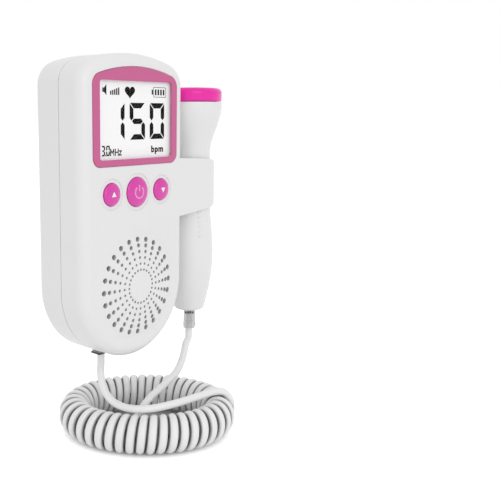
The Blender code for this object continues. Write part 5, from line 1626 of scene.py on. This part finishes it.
@dataclass
class Probe:
    """The probe's body, ring and face."""

    x: float = 49.7 * MM
    y: float = -20.3 * MM
    head: float = 15.0 * MM
    waist: float = 9.75 * MM
    swell: float = 11.7 * MM
    tail: float = 7.2 * MM
    top: float = 88.3 * MM
    ring_low: float = 82.0 * MM
    flare_top: float = 79.0 * MM
    flare_low: float = 57.0 * MM
    swell_start: float = 38.0 * MM
    swell_peak: float = 7.0 * MM
    bottom: float = -21.6 * MM
    roll: float = math.radians(-47.4)

    def radius(self, z: np.ndarray) -> np.ndarray:
        """Outer radius at a height: a power curve for the tail, then two smooth steps.

        Args:
            z: Heights.

        Returns:
            Radii.
        """
        tail_share = np.clip((self.swell_peak - z) / (self.swell_peak - self.bottom), 0.0, 1.0)
        tail = self.swell - (self.swell - self.tail) * tail_share**1.9
        swell = self.waist + (self.swell - self.waist) * smooth_step(
            (self.swell_start - z) / (self.swell_start - self.swell_peak)
        )
        flare = self.waist + (self.head - self.waist) * smooth_step(
            (z - self.flare_low) / (self.flare_top - self.flare_low)
        )
        return np.where(z < self.swell_peak, tail, np.where(z < self.flare_low, swell, flare))

    def at_axis(self, plug: bool = False) -> Matrix:
        """Turns and moves a shape from the Z axis to the probe's axis."""
        roll = self.roll - (QUARTER if plug else 0.0)
        return Matrix.Translation((self.x, self.y, 0.0)) @ Matrix.Rotation(roll, 4, "Z")

    def body(self) -> None:
        """The probe's white body, with its tail pocket and its head's seat."""
        edge = rounding(1.6 * MM, 10)
        low = self.bottom + edge[:, 1]
        start = self.radius(np.array([self.bottom + 1.6 * MM]))[0]
        tail = np.stack([start - edge[:, 0], low], axis=1)
        heights = np.concatenate([
            np.linspace(self.bottom + 1.8 * MM, self.flare_low, 60),
            np.linspace(self.flare_low, self.ring_low - GAP - 0.3 * MM, 40)[1:],
        ])
        wall = np.stack([self.radius(heights), heights], axis=1)
        lip = np.array([
            [self.head - 0.12 * MM, self.ring_low - GAP - 0.08 * MM], [self.head - 0.3 * MM, self.ring_low - GAP],
            [self.head - 1.8 * MM, self.ring_low - GAP], [self.head - 1.8 * MM, self.ring_low - 6.0 * MM],
            [0.0, self.ring_low - 6.0 * MM],
        ])
        profile = np.concatenate([np.array([[0.0, self.bottom]]), tail, wall, lip])
        grid = turned(profile, (self.x, self.y), Axis.UP, 112)
        piece = MeshBuffer().add_grid(grid).build("probe_handle")
        pocket = MeshBuffer().add_prism(socket_mouth(0.0), self.bottom - CUT, -10.0 * MM, Axis.UP).build("pocket")
        pocket.data.transform(self.at_axis(plug=True))
        join(piece, pocket, Cut.AWAY)
        smooth(piece)
        dress(piece, HOUSING_WHITE, Body.PROBE, "shell_white", "probe_body")

    def grips(self) -> None:
        """Short raised dashes on the handle: each a flattened ball, |s|^4 + |t|^4 = 1 in plan."""
        buffer = MeshBuffer()
        turn = np.arange(32) * TAU / 32
        plan = np.stack([np.cos(turn), np.sin(turn)], axis=1)
        plan = np.sign(plan) * np.abs(plan) ** 0.5
        rise = np.sin(np.linspace(-QUARTER, QUARTER, 9))
        shrink = np.cos(np.linspace(-QUARTER, QUARTER, 9))
        for i in range(6):
            middle = (31.0 - 2.3 * i - 2.3 - 0.45) * MM
            reach = self.radius(np.array([middle]))[0]
            angle = math.radians(-113.0) + plan[None, :, 0] * shrink[:, None] ** 0.6 * 1.3 * MM / reach
            z = middle + plan[None, :, 1] * shrink[:, None] ** 0.6 * 0.5 * MM
            out = reach + 0.32 * MM * rise[:, None] + np.zeros_like(angle)
            grid = np.stack([self.x + out * np.cos(angle), self.y + out * np.sin(angle), z], axis=-1)
            buffer.add_grid(grid)
        piece = buffer.build("grip_dashes")
        piece.data.shade_smooth()
        dress(piece, HOUSING_WHITE, Body.PROBE, "shell_white")

    def ring(self) -> None:
        """The magenta ring round the head, with a round top edge."""
        bore = self.head - 2.6 * MM
        edge = rounding(2.4 * MM, 12)
        outer = np.stack([self.head - edge[:, 0], self.top - edge[:, 1]], axis=1)[::-1]
        foot = np.array([
            [bore - 1.2 * MM, self.ring_low - 2.4 * MM], [self.head - 1.8 * MM - GAP, self.ring_low - 2.4 * MM],
            [self.head - 1.8 * MM - GAP, self.ring_low], [self.head - 0.3 * MM, self.ring_low],
            [self.head - 0.1 * MM, self.ring_low + 0.1 * MM], [self.head, self.ring_low + 0.3 * MM],
        ])
        seat = self.top - 2.5 * MM
        inside = np.array([
            [bore + 0.25 * MM, self.top], [bore, self.top - 0.25 * MM], [bore, seat], [bore - 1.2 * MM, seat],
        ])
        profile = np.concatenate([foot, outer, inside])
        grid = turned(profile, (self.x, self.y), Axis.UP, 112)
        piece = MeshBuffer().add_grid(grid, ring_closed=True).build("head_ring")
        smooth(piece)
        dress(piece, RING_MAGENTA, Body.PROBE, "button_magenta", "probe_ring")

    def face(self) -> None:
        """The acoustic face: a disc that crowns gently to a flat middle."""
        outer = self.head - 2.6 * MM - GAP
        share = np.linspace(1.0, 0.6, 12)
        crown = np.stack([outer * share, self.top + 0.4 * MM * smooth_step((1.0 - share) / 0.4)], axis=1)
        base = self.top - 2.2 * MM
        profile = np.concatenate([[[0.0, base], [outer, base]], crown, [[0.0, crown[-1, 1]]]])
        piece = MeshBuffer().add_grid(turned(profile, (self.x, self.y), Axis.UP, 96)).build("acoustic_disc")
        smooth(piece)
        dress(piece, ACOUSTIC_FACE, Body.PROBE, "acoustic_face", "probe_face")

    def build(self) -> None:
        """Build the probe's visible pieces."""
        self.body()
        self.grips()
        self.ring()
        self.face()


@dataclass
class Plug:
    """A clear modular plug, built about the Z axis with its socket's mouth at zero."""

    name: str
    body: Body
    place: Matrix
    shows: float
    marks: bool = False
    band: bool = False
    width: float = 7.0 * MM
    thick: float = 5.4 * MM
    inserted: float = 8.0 * MM
    corner: float = 0.5 * MM
    flare: float = 0.22 * MM
    latch_half: float = 1.6 * MM
    latch_spread: float = 0.7 * MM

    def outline(self, grow: float) -> np.ndarray:
        """The plug's cross-section grown by an amount, as points (x, y)."""
        half_x, half_y = self.width / 2.0 + grow, self.thick / 2.0 + grow
        return rounded_box(-half_x, half_x, -half_y, half_y, self.corner, 4)

    def finish(self, piece: bpy.types.Object, finish: Finish, slot: str, *nodes: str) -> bpy.types.Object:
        """Move a piece from the Z axis to the plug's place and dress it.

        Args:
            piece: The piece.
            finish: Its finish.
            slot: Name of a material slot, passed on to dress.
            nodes: CAD nodes that it replaces.

        Returns:
            The piece.
        """
        piece.data.transform(self.place)
        smooth(piece)
        return dress(piece, finish, self.body, slot, *nodes)

    def sleeve(self, rows: list[tuple[float, float]], part: str) -> bpy.types.Object:
        """A solid through the plug's cross-section, grown by an amount at each height.

        Args:
            rows: Height and growth of each section.
            part: What the piece's name ends with.

        Returns:
            The piece.
        """
        outlines = [self.outline(grow) for _, grow in rows]
        rows = stack(outlines, [z for z, _ in rows], Axis.UP)
        return MeshBuffer().add_grid(rows).build(f"{self.name}_{part}")

    def shell(self) -> bpy.types.Object:
        """The clear body: a box with a crimp groove, a flared foot and its latch.

        Returns:
            The piece.
        """
        shows, flare = self.shows, self.flare
        rows = [
            (self.inserted, -0.35 * MM), (self.inserted - 0.35 * MM, 0.0), (-0.60 * shows, 0.0),
            (-0.62 * shows, -flare), (-0.68 * shows, -flare), (-0.70 * shows, 0.0), (-0.84 * shows, 0.0),
            (-0.88 * shows, flare), (-shows + 0.2 * MM, flare), (-shows, 0.0),
        ]
        piece = self.sleeve(rows, "body")
        face, tip, end = self.thick / 2.0, self.thick / 2.0 + self.latch_spread, 0.6 * MM - shows
        side = np.array([
            [face - 0.9 * MM, -1.0 * MM], [face + 0.25 * MM, -1.0 * MM], [tip, end], [tip - 0.45 * MM, end],
            [face + 0.05 * MM, -2.2 * MM], [face - 0.9 * MM, -2.2 * MM],
        ])
        latch = MeshBuffer().add_prism(side, -self.latch_half, self.latch_half, Axis.ACROSS)
        join(piece, latch.build("latch"), Cut.TOGETHER)
        return self.finish(piece, PLUG_CLEAR, "clear_plastic", self.name)

    def core(self) -> bpy.types.Object:
        """The cord's end that shows inside the clear body.

        Returns:
            The piece.
        """
        radius = 1.55 * MM
        profile = [(0.0, -self.shows - 0.8 * MM), (radius, -self.shows - 0.8 * MM), (radius, -0.5 * self.shows)]
        profile += [(radius * 0.8, -0.4 * self.shows), (radius * 0.8, 4.0 * MM), (0.0, 4.0 * MM)]
        piece = MeshBuffer().add_grid(turned(profile, (0.0, 0.0), Axis.UP, 32)).build(f"{self.name}_core")
        return self.finish(piece, CORD_WHITE, "cord_white")

    def mouth_shade_slots(self) -> bpy.types.Object:
        """Four black slots side by side just under the socket's mouth: painted shade where the plug enters the
        socket, drawn as contact slots.

        Returns:
            The piece.
        """
        buffer = MeshBuffer()
        face = self.width / 2.0
        for y in (np.arange(4) - 1.5) * 1.2 * MM:
            slot = rounded_box(y - 0.42 * MM, y + 0.42 * MM, -2.3 * MM, -1.2 * MM, 0.15 * MM, 3)
            buffer.add_prism(slot, face - 0.4 * MM, face + 0.04 * MM, Axis.ACROSS)
        # Black here is painted shade at the socket's mouth.
        return self.finish(buffer.build(f"{self.name}_contacts"), BLACK_PLASTIC, "black_plastic")

    def collar(self) -> bpy.types.Object:
        """The crimp collar round the foot of the plug, dark with painted shade of the gap where the cord leaves
        it.

        Returns:
            The piece.
        """
        low, high = -self.shows + 0.15 * MM, -self.shows + 0.95 * MM
        thin, full = 0.1 * MM, 0.3 * MM
        rows = [(low, thin), (low + 0.1 * MM, full), (high - 0.1 * MM, full), (high, thin)]
        # The collar's dark finish is painted shade.
        return self.finish(self.sleeve(rows, "collar"), COLLAR_SHADE_GREY, "black_plastic")

    def build(self) -> list[bpy.types.Object]:
        """Build the plug's pieces.

        Returns:
            The pieces.
        """
        pieces = [self.shell(), self.core()]
        if self.marks:
            pieces.append(self.mouth_shade_slots())
        if self.band:
            pieces.append(self.collar())
        return pieces


@dataclass
class Cord:
    """The whole cord: two plain leads and a ring of curls, as one tube."""

    diameter: float = 3.6 * MM
    curl_out: float = 6.1 * MM
    curl_up: float = 7.3 * MM
    curls: float = 41.25
    per_curl: int = 28
    centre: tuple[float, float, float] = (23.0 * MM, -15.7 * MM, -70.2 * MM)
    long: float = 35.6 * MM
    short: float = 27.0 * MM
    turn: float = math.radians(-47.4)
    gap_angle: float = math.radians(5.8)
    head: float = 1.5 * MM
    tail: float = 6.0 * MM
    straight: float = 5.0 * MM
    drop: float = 3.5 * MM
    sides: int = 16
    widening: float = 0.12
    shade_from: float = 0.68
    shade_over: float = 0.30
    shade_inward: float = 0.08
    bend_start: tuple[float, float, float] = (36.0 * MM, 0.0, -52.0 * MM)
    bend_end: tuple[float, float, float] = (42.0 * MM, 0.0, -31.5 * MM)
    unit_start: tuple[float, float, float] = (0.0, -7.0 * MM, -36.6 * MM)
    probe_start: tuple[float, float, float] = (49.7 * MM, -20.3 * MM, -31.7 * MM)
    unit_route: tuple = (
        (-22.1, -12.6, 25.0), (-20.7, -14.4, 17.6), (-17.0, -17.6, 12.9), (-11.6, -20.6, 10.8),
        (-5.4, -22.8, 10.5), (1.6, -23.0, 10.8), (8.8, -20.8, 11.3), (15.4, -17.2, 11.6),
        (21.6, -12.8, 11.8), (27.6, -8.0, 11.8), (33.2, -3.2, 11.5), (38.2, -0.3, 10.0),
    )
    probe_route: tuple = (
        (19.9, 13.9, 30.4), (18.3, 11.6, 24.2), (15.2, 7.8, 18.2), (9.2, 2.1, 13.6),
        (2.2, -6.3, 10.2), (-2.2, -13.2, 7.2), (-4.9, -15.4, 2.4), (-5.2, -16.0, -2.4),
        (-1.6, -14.4, -6.5), (5.0, -10.2, -7.3), (12.0, -4.4, -7.3), (18.6, -0.4, -7.3),
    )

    def frame(self) -> tuple[np.ndarray, np.ndarray]:
        """The ring's own directions: along its long axis and along its short one."""
        cos, sin = math.cos(self.turn), math.sin(self.turn)
        return np.array([cos, sin, 0.0]), np.array([-sin, cos, 0.0])

    def in_ring(self, places: np.ndarray) -> np.ndarray:
        """Places in the ring's own frame, in millimetres, turned and moved into space.

        Args:
            places: Places along the long axis, along the short one and up.

        Returns:
            Points in space.
        """
        long, short = self.frame()
        places = np.atleast_2d(np.asarray(places, float)) * MM
        up = np.array([0.0, 0.0, 1.0])
        return np.asarray(self.centre) + places[:, :1] * long + places[:, 1:2] * short + places[:, 2:3] * up

    def oval(self, angle: np.ndarray) -> tuple[np.ndarray, np.ndarray]:
        """The ring's centreline, an ellipse, and its outward direction at each angle.

        Args:
            angle: Angles round the ring.

        Returns:
            Points of the centreline and outward directions.
        """
        long, short = self.frame()
        cos, sin = np.cos(angle)[:, None], np.sin(angle)[:, None]
        line = np.asarray(self.centre) + self.long * cos * long + self.short * sin * short
        outward = cos / self.long * long + sin / self.short * short
        return line, outward / np.linalg.norm(outward, axis=1, keepdims=True)

    def coil(self) -> np.ndarray:
        """The curls: ring centreline plus (out cos t) outward and (up sin t) upward, t falling by a turn a curl.

        Returns:
            Points of the curls.
        """
        sweep = -np.linspace(0.0, TAU - self.gap_angle, 4000)
        line, outward = self.oval(sweep)
        lengths = lengths_along(line - outward * self.curl_out)
        count = round(self.curls * self.per_curl) + 1
        angle = np.interp(np.linspace(0.0, lengths[-1], count), lengths, sweep)
        line, outward = self.oval(angle)
        turn = -TAU * self.curls * np.arange(count) / (count - 1)
        up = np.array([0.0, 0.0, 1.0])
        points = line + self.curl_out * np.cos(turn)[:, None] * outward + self.curl_up * np.sin(turn)[:, None] * up
        first = points[0] + up * self.head
        last = points[-1] - outward[-1] * self.tail
        return np.concatenate([first[None], points, last[None]])

    def curve(self, knots: np.ndarray, step: float) -> np.ndarray:
        """A smooth curve through all knots but the first and last, at even steps.

        Between two knots it is the centripetal Catmull-Rom cubic: three rounds of
        mixing neighbours by the square roots of their distances.

        Args:
            knots: Points, with one guide point at each end.
            step: Distance between the points returned.

        Returns:
            Points of the curve.
        """
        pieces = []
        share = np.linspace(0.0, 1.0, 24, endpoint=False)[:, None]
        for p0, p1, p2, p3 in zip(knots, knots[1:], knots[2:], knots[3:]):
            t0 = 0.0
            t1 = t0 + math.sqrt(np.linalg.norm(p1 - p0))
            t2 = t1 + math.sqrt(np.linalg.norm(p2 - p1))
            t3 = t2 + math.sqrt(np.linalg.norm(p3 - p2))
            t = t1 + (t2 - t1) * share
            a1 = p0 * (t1 - t) / (t1 - t0) + p1 * (t - t0) / (t1 - t0)
            a2 = p1 * (t2 - t) / (t2 - t1) + p2 * (t - t1) / (t2 - t1)
            a3 = p2 * (t3 - t) / (t3 - t2) + p3 * (t - t2) / (t3 - t2)
            b1 = a1 * (t2 - t) / (t2 - t0) + a2 * (t - t0) / (t2 - t0)
            b2 = a2 * (t3 - t) / (t3 - t1) + a3 * (t - t1) / (t3 - t1)
            pieces.append(b1 * (t2 - t) / (t2 - t1) + b2 * (t - t1) / (t2 - t1))
        dense = np.concatenate(pieces + [knots[-2][None]])
        lengths = lengths_along(dense)
        return read_off(dense, lengths, np.linspace(0.0, lengths[-1], max(3, round(lengths[-1] / step)) + 1))

    def lead(self, start: tuple[float, float, float], route: tuple, end: np.ndarray, along: np.ndarray,
             straight: float) -> np.ndarray:
        """A plain lead from a plug, straight down and along its route, to a coil's end.

        Args:
            start: Where it leaves the plug.
            route: Places in the ring's own frame, in millimetres.
            end: Where it meets the coil.
            along: Direction in which it meets the coil.
            straight: Length over which it runs straight into the coil.

        Returns:
            Points from the plug to the coil.
        """
        first = np.asarray(start)
        down = np.array([0.0, 0.0, -self.straight])
        knots = np.concatenate([
            first[None], (first + down)[None], self.in_ring(route), (end - along * straight)[None], end[None],
        ])
        return np.concatenate([first[None], self.curve(knots, 1.2 * MM)])

    def path(self) -> np.ndarray:
        """The cord's whole centreline, from the housing's plug to the probe's plug.

        Returns:
            Points from end to end.
        """
        coil = self.coil()
        first = (coil[1] - coil[0]) / np.linalg.norm(coil[1] - coil[0])
        last = (coil[-2] - coil[-1]) / np.linalg.norm(coil[-2] - coil[-1])
        unit = self.lead(self.unit_start, self.unit_route, coil[0], first, self.drop)
        probe = self.lead(self.probe_start, self.probe_route, coil[-1], last, self.straight)
        return np.concatenate([unit, coil, probe[::-1]])

    def around(self, path: np.ndarray) -> tuple[np.ndarray, np.ndarray, np.ndarray, np.ndarray]:
        """Where each path point lies on the ring of curls.

        Args:
            path: Centreline points.

        Returns:
            The ring's tangent, its outward direction, the tube's width over its height,
            and whether the point is on a curl.  The width grows from one on the ring's
            inside, where the curls touch, by the widening times one plus the share outward.
        """
        long, short = self.frame()
        away = path - np.asarray(self.centre)
        angle = np.arctan2(away @ short / self.short, away @ long / self.long)
        tangent = -np.sin(angle)[:, None] * self.long * long + np.cos(angle)[:, None] * self.short * short
        tangent /= np.linalg.norm(tangent, axis=1, keepdims=True)
        line, outward = self.oval(angle)
        curled = np.linalg.norm(path - line, axis=1) < self.curl_up + 0.1 * MM
        reach = np.clip(((path - line) * outward).sum(axis=1) / self.curl_out, -1.0, 1.0)
        wider = np.pad(self.widening * (1.0 + reach) * curled, 4, mode="edge")
        wider = np.convolve(wider, np.full(9, 1.0 / 9.0), "valid")
        return tangent, outward, 1.0 + wider, curled

    def tube(self, path: np.ndarray) -> np.ndarray:
        """A tube: rings of radius r across the path, in a frame that doesn't twist.

        Each ring is stretched along the big ring's tangent by the width that
        around() gives, as the flattened curls are.

        Args:
            path: Centreline points.

        Returns:
            A grid of shape (points, sides, 3).
        """
        along = np.gradient(path, axis=0)
        along /= np.linalg.norm(along, axis=1, keepdims=True)
        side = np.empty_like(path)
        current = np.cross(along[0], np.array([0.0, 1.0, 0.0]))
        for i, direction in enumerate(along):
            current = current - direction * (current @ direction)
            current = current / np.linalg.norm(current)
            side[i] = current
        other = np.cross(along, side)
        angle = np.arange(self.sides) * TAU / self.sides
        ring = np.cos(angle)[None, :, None] * side[:, None] + np.sin(angle)[None, :, None] * other[:, None]
        tangent, _, width, _ = self.around(path)
        share = (ring * tangent[:, None]).sum(axis=2) * (width - 1.0)[:, None]
        return path[:, None] + (ring + share[:, :, None] * tangent[:, None]) * self.diameter / 2.0

    def plugs(self) -> list[bpy.types.Object]:
        """The two plugs: the housing's with its latch to the front, the probe's edge on to the camera.

        Returns:
            The plugs' pieces.
        """
        at_unit = Matrix.Translation((0.0, -7.0 * MM, -31.4 * MM)) @ Matrix.Rotation(math.pi, 4, "Z")
        at_probe = Matrix.Translation((0.0, 0.0, -21.6 * MM)) @ Probe().at_axis(plug=True)
        unit = Plug("unit_plug", Body.HOUSING, at_unit, 4.9 * MM, band=True)
        probe = Plug("probe_plug", Body.PROBE, at_probe, 9.8 * MM, marks=True)
        return unit.build() + probe.build()

    def between(self, grid: np.ndarray, path: np.ndarray) -> np.ndarray:
        """How much painted shade each point of the tube gets, zero to one, from how squarely it faces its
        neighbour curl.

        On the ring it is the smooth step of the share of the tube's normal that runs
        along the ring, from shade_from over shade_over, and at least shade_inward times the
        share that faces the ring's middle, where less light comes in.  On the leads it is zero.

        Args:
            grid: The tube's grid.
            path: Its centreline.

        Returns:
            One value for each point.
        """
        tangent, outward, width, curled = self.around(path)
        normal = (grid - path[:, None]) / (self.diameter / 2.0)
        facing = np.abs((normal * tangent[:, None]).sum(axis=2)) / width[:, None]
        inward = np.clip(-(normal * outward[:, None]).sum(axis=2), 0.0, 1.0)
        shade = np.maximum(smooth_step((facing - self.shade_from) / self.shade_over), self.shade_inward * inward)
        return (shade * curled[:, None]).ravel()

    def build(self) -> None:
        path = self.path()
        keep = np.concatenate([[True], np.linalg.norm(np.diff(path, axis=0), axis=1) > 0.02 * MM])
        path = path[keep]
        grid = self.tube(path)
        piece = MeshBuffer().add_grid(grid).build("probe_cord")
        # The between attribute holds the painted shade between the curls and on the ring's inside.
        shares = piece.data.attributes.new("between", "FLOAT", "POINT")
        shares.data.foreach_set("value", self.between(grid, path).astype(np.float32))
        smooth(piece, 50.0)
        piece.data.materials.append(CORD_WHITE.material())
        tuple(self.bend_start)
        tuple(self.bend_end)
        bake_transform(piece)
        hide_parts("unit_lead", "curly_coil", "probe_lead")
        length = float(np.linalg.norm(np.diff(path, axis=0), axis=1).sum())
        log.info("cord of %.3f m in %d points", length, len(path))
        tuple(path[0])
        self.plugs()


INNER_FINISHES: dict[Finish, tuple[str, ...]] = {
    DISPLAY_WHITE: ("backlight_panel",),
    BLACK_PLASTIC: (
        "power_switch", "volume_up_switch", "volume_down_switch", "amplifier_chip", "controller_chip",
        "radio_chip", "speaker_frame", "headphone_jack", "crystal_holder",
    ),
    Board(): ("main_board", "probe_board"),
    CONE_PAPER: ("speaker_cone",),
    FERRITE: ("speaker_magnet",),
    CELL_WRAP: ("battery_left", "battery_right"),
    STEEL: (
        "contact_left_bottom", "contact_left_top", "contact_right_bottom", "contact_right_top",
        "case_screw_1", "case_screw_2", "case_screw_3", "case_screw_4",
    ),
    DARK_SOCKET: ("cord_socket", "probe_socket"),
    CERAMIC: ("transmit_crystal", "receive_crystal"),
}


def dress_nodes(nodes: dict[str, bpy.types.Object]) -> None:
    """Give every CAD node that stays its own finish.

    Args:
        nodes: The frame's nodes by name.
    """
    for finish, names in INNER_FINISHES.items():
        for name in names:
            nodes[name].data.materials.clear()
            nodes[name].data.materials.append(finish.material())
            log.info("%s keeps its solid", name)


@dataclass(frozen=True)
class Studio:
    """Camera, lamps, floor and background."""

    place: tuple[float, float, float] = (-0.2380, -0.2531, 0.0761)
    azimuth: float = math.radians(-47.36)
    pitch: float = math.radians(8.02)
    lens: float = 53.64
    shift: tuple[float, float] = (0.2149, -0.0629)
    middle: tuple[float, float, float] = (0.01, -0.015, 0.02)
    floor_z: float = -79.4 * MM
    ambient: float = 0.845
    floor_glow: float = 0.5
    ring_half: tuple[float, float] = (43.5 * MM, 34.9 * MM)
    ring_centre: tuple[float, float] = (23.0 * MM, -15.7 * MM)
    ring_turn: float = math.radians(-47.4)
    floor_half: float = 30.0
    # The floor's darker colour inside the cord's ring is a painted shadow.
    floor_shadow_tone: tuple[float, float, float, float] = (0.45, 0.45, 0.45, 1.0)
    floor_far: tuple[float, float, float, float] = (0.9, 0.9, 0.9, 1.0)

    def camera(self) -> None:
        """Set the camera at the photograph's viewing angle."""
        data = bpy.data.cameras.new("camera")
        data.lens = self.lens
        data.sensor_width = 36.0
        data.shift_x, data.shift_y = self.shift
        data.clip_start = 0.01
        camera = placed("camera", data)
        camera.location = self.place
        camera.rotation_euler = (QUARTER - self.pitch, 0.0, self.azimuth)
        bpy.context.scene.camera = camera

    def lamp(self, name: str, place: tuple[float, float, float], size: float, power: float) -> None:
        """A square soft lamp aimed at the object's middle.

        Args:
            name: Its name.
            place: Where it hangs.
            size: Its side.
            power: Its power in watts.
        """
        data = bpy.data.lights.new(name, "AREA")
        data.size = size
        data.energy = power
        lamp = placed(name, data)
        lamp.location = place
        lamp.rotation_euler = (Vector(self.middle) - Vector(place)).to_track_quat("-Z", "Y").to_euler()

    def world(self) -> None:
        """White to the camera and in reflections, and a plain level of light on the object."""
        world = bpy.data.worlds.new("studio")
        world.use_nodes = True
        tree = world.node_tree
        tree.nodes.clear()
        rays = node(tree, "LightPath").outputs
        seen = maths(tree, "MAXIMUM", rays["Is Camera Ray"], rays["Is Glossy Ray"])
        seen = maths(tree, "MAXIMUM", seen, rays["Is Transmission Ray"])
        light = node(tree, "Background", {"Color": WHITE, "Strength": self.ambient}).outputs[0]
        backdrop = node(tree, "Background", {"Color": WHITE, "Strength": 1.0}).outputs[0]
        mix = node(tree, "MixShader", {0: seen, 1: light, 2: backdrop})
        node(tree, "OutputWorld", {"Surface": mix.outputs[0]})
        bpy.context.scene.world = world

    def floor(self) -> None:
        """A pale floor that keeps the object's shadow.

        To the camera it also glows a little outside the cord's ring, so it turns white
        away from the object.  Inside the ring it has no glow and a darker colour, a painted
        shadow.  The ring's oval is measured in its own half lengths.
        """
        half = self.floor_half
        corners = np.array([[-half, -half], [half, -half], [half, half], [-half, half]])
        mesh = bpy.data.meshes.new("floor")
        mesh.from_pydata(np.column_stack([corners, np.full(4, self.floor_z)]).tolist(), [], [[0, 1, 2, 3]])
        floor = placed("floor", mesh)
        material, tree, shader = start_material("floor_white")
        rays = node(tree, "LightPath").outputs
        seen = maths(tree, "MAXIMUM", rays["Is Camera Ray"], rays["Is Glossy Ray"])
        oval = node(tree, "Mapping", {
            "Vector": node(tree, "TexCoord").outputs["Object"], "Location": (*self.ring_centre, self.floor_z),
            "Rotation": (0.0, 0.0, self.ring_turn), "Scale": (*self.ring_half, 1.0),
        }, vector_type="TEXTURE")
        away = node(tree, "VectorMath", {0: oval.outputs["Vector"]}, operation="LENGTH").outputs["Value"]
        share = node(
            tree, "MapRange", {"Value": away, "From Min": 0.7, "From Max": 1.0}, interpolation_type="SMOOTHSTEP",
        ).outputs["Result"]
        # Painted shadow: darker colour and no glow inside the cord's ring.
        feed(shader, {
            "Base Color": mixed(tree, share, self.floor_shadow_tone, self.floor_far), "Roughness": 0.9,
            "Specular IOR Level": 0.0, "Emission Color": WHITE,
            "Emission Strength": maths(tree, "MULTIPLY", maths(tree, "MULTIPLY", seen, self.floor_glow), share),
        })
        mesh.materials.append(material)

    def build(self) -> None:
        """Set up the whole studio."""
        self.camera()
        self.world()
        self.floor()
        self.lamp("key", (-0.45, -0.95, 0.45), 0.7, 2.2)
        bpy.context.scene.view_settings.view_transform = "Standard"


def main() -> None:
    """Load the frame, build every piece in order and note the sizes."""
    logging.basicConfig(level=logging.INFO, format="%(message)s")
    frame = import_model()
    Studio().build()
    Cord().build()
    dress_nodes(frame["nodes"])
    housing = Housing()
    housing.front_shell()
    rear = RearHousing(housing)
    rear.rear_shell()
    rear.battery_cover()
    display = Display(housing)
    display.bezel()
    display.window()
    display.panel()
    display.signs()
    display.unit_word()
    Keys(housing).build()
    Probe().build()


if __name__ == "__main__":
    main()
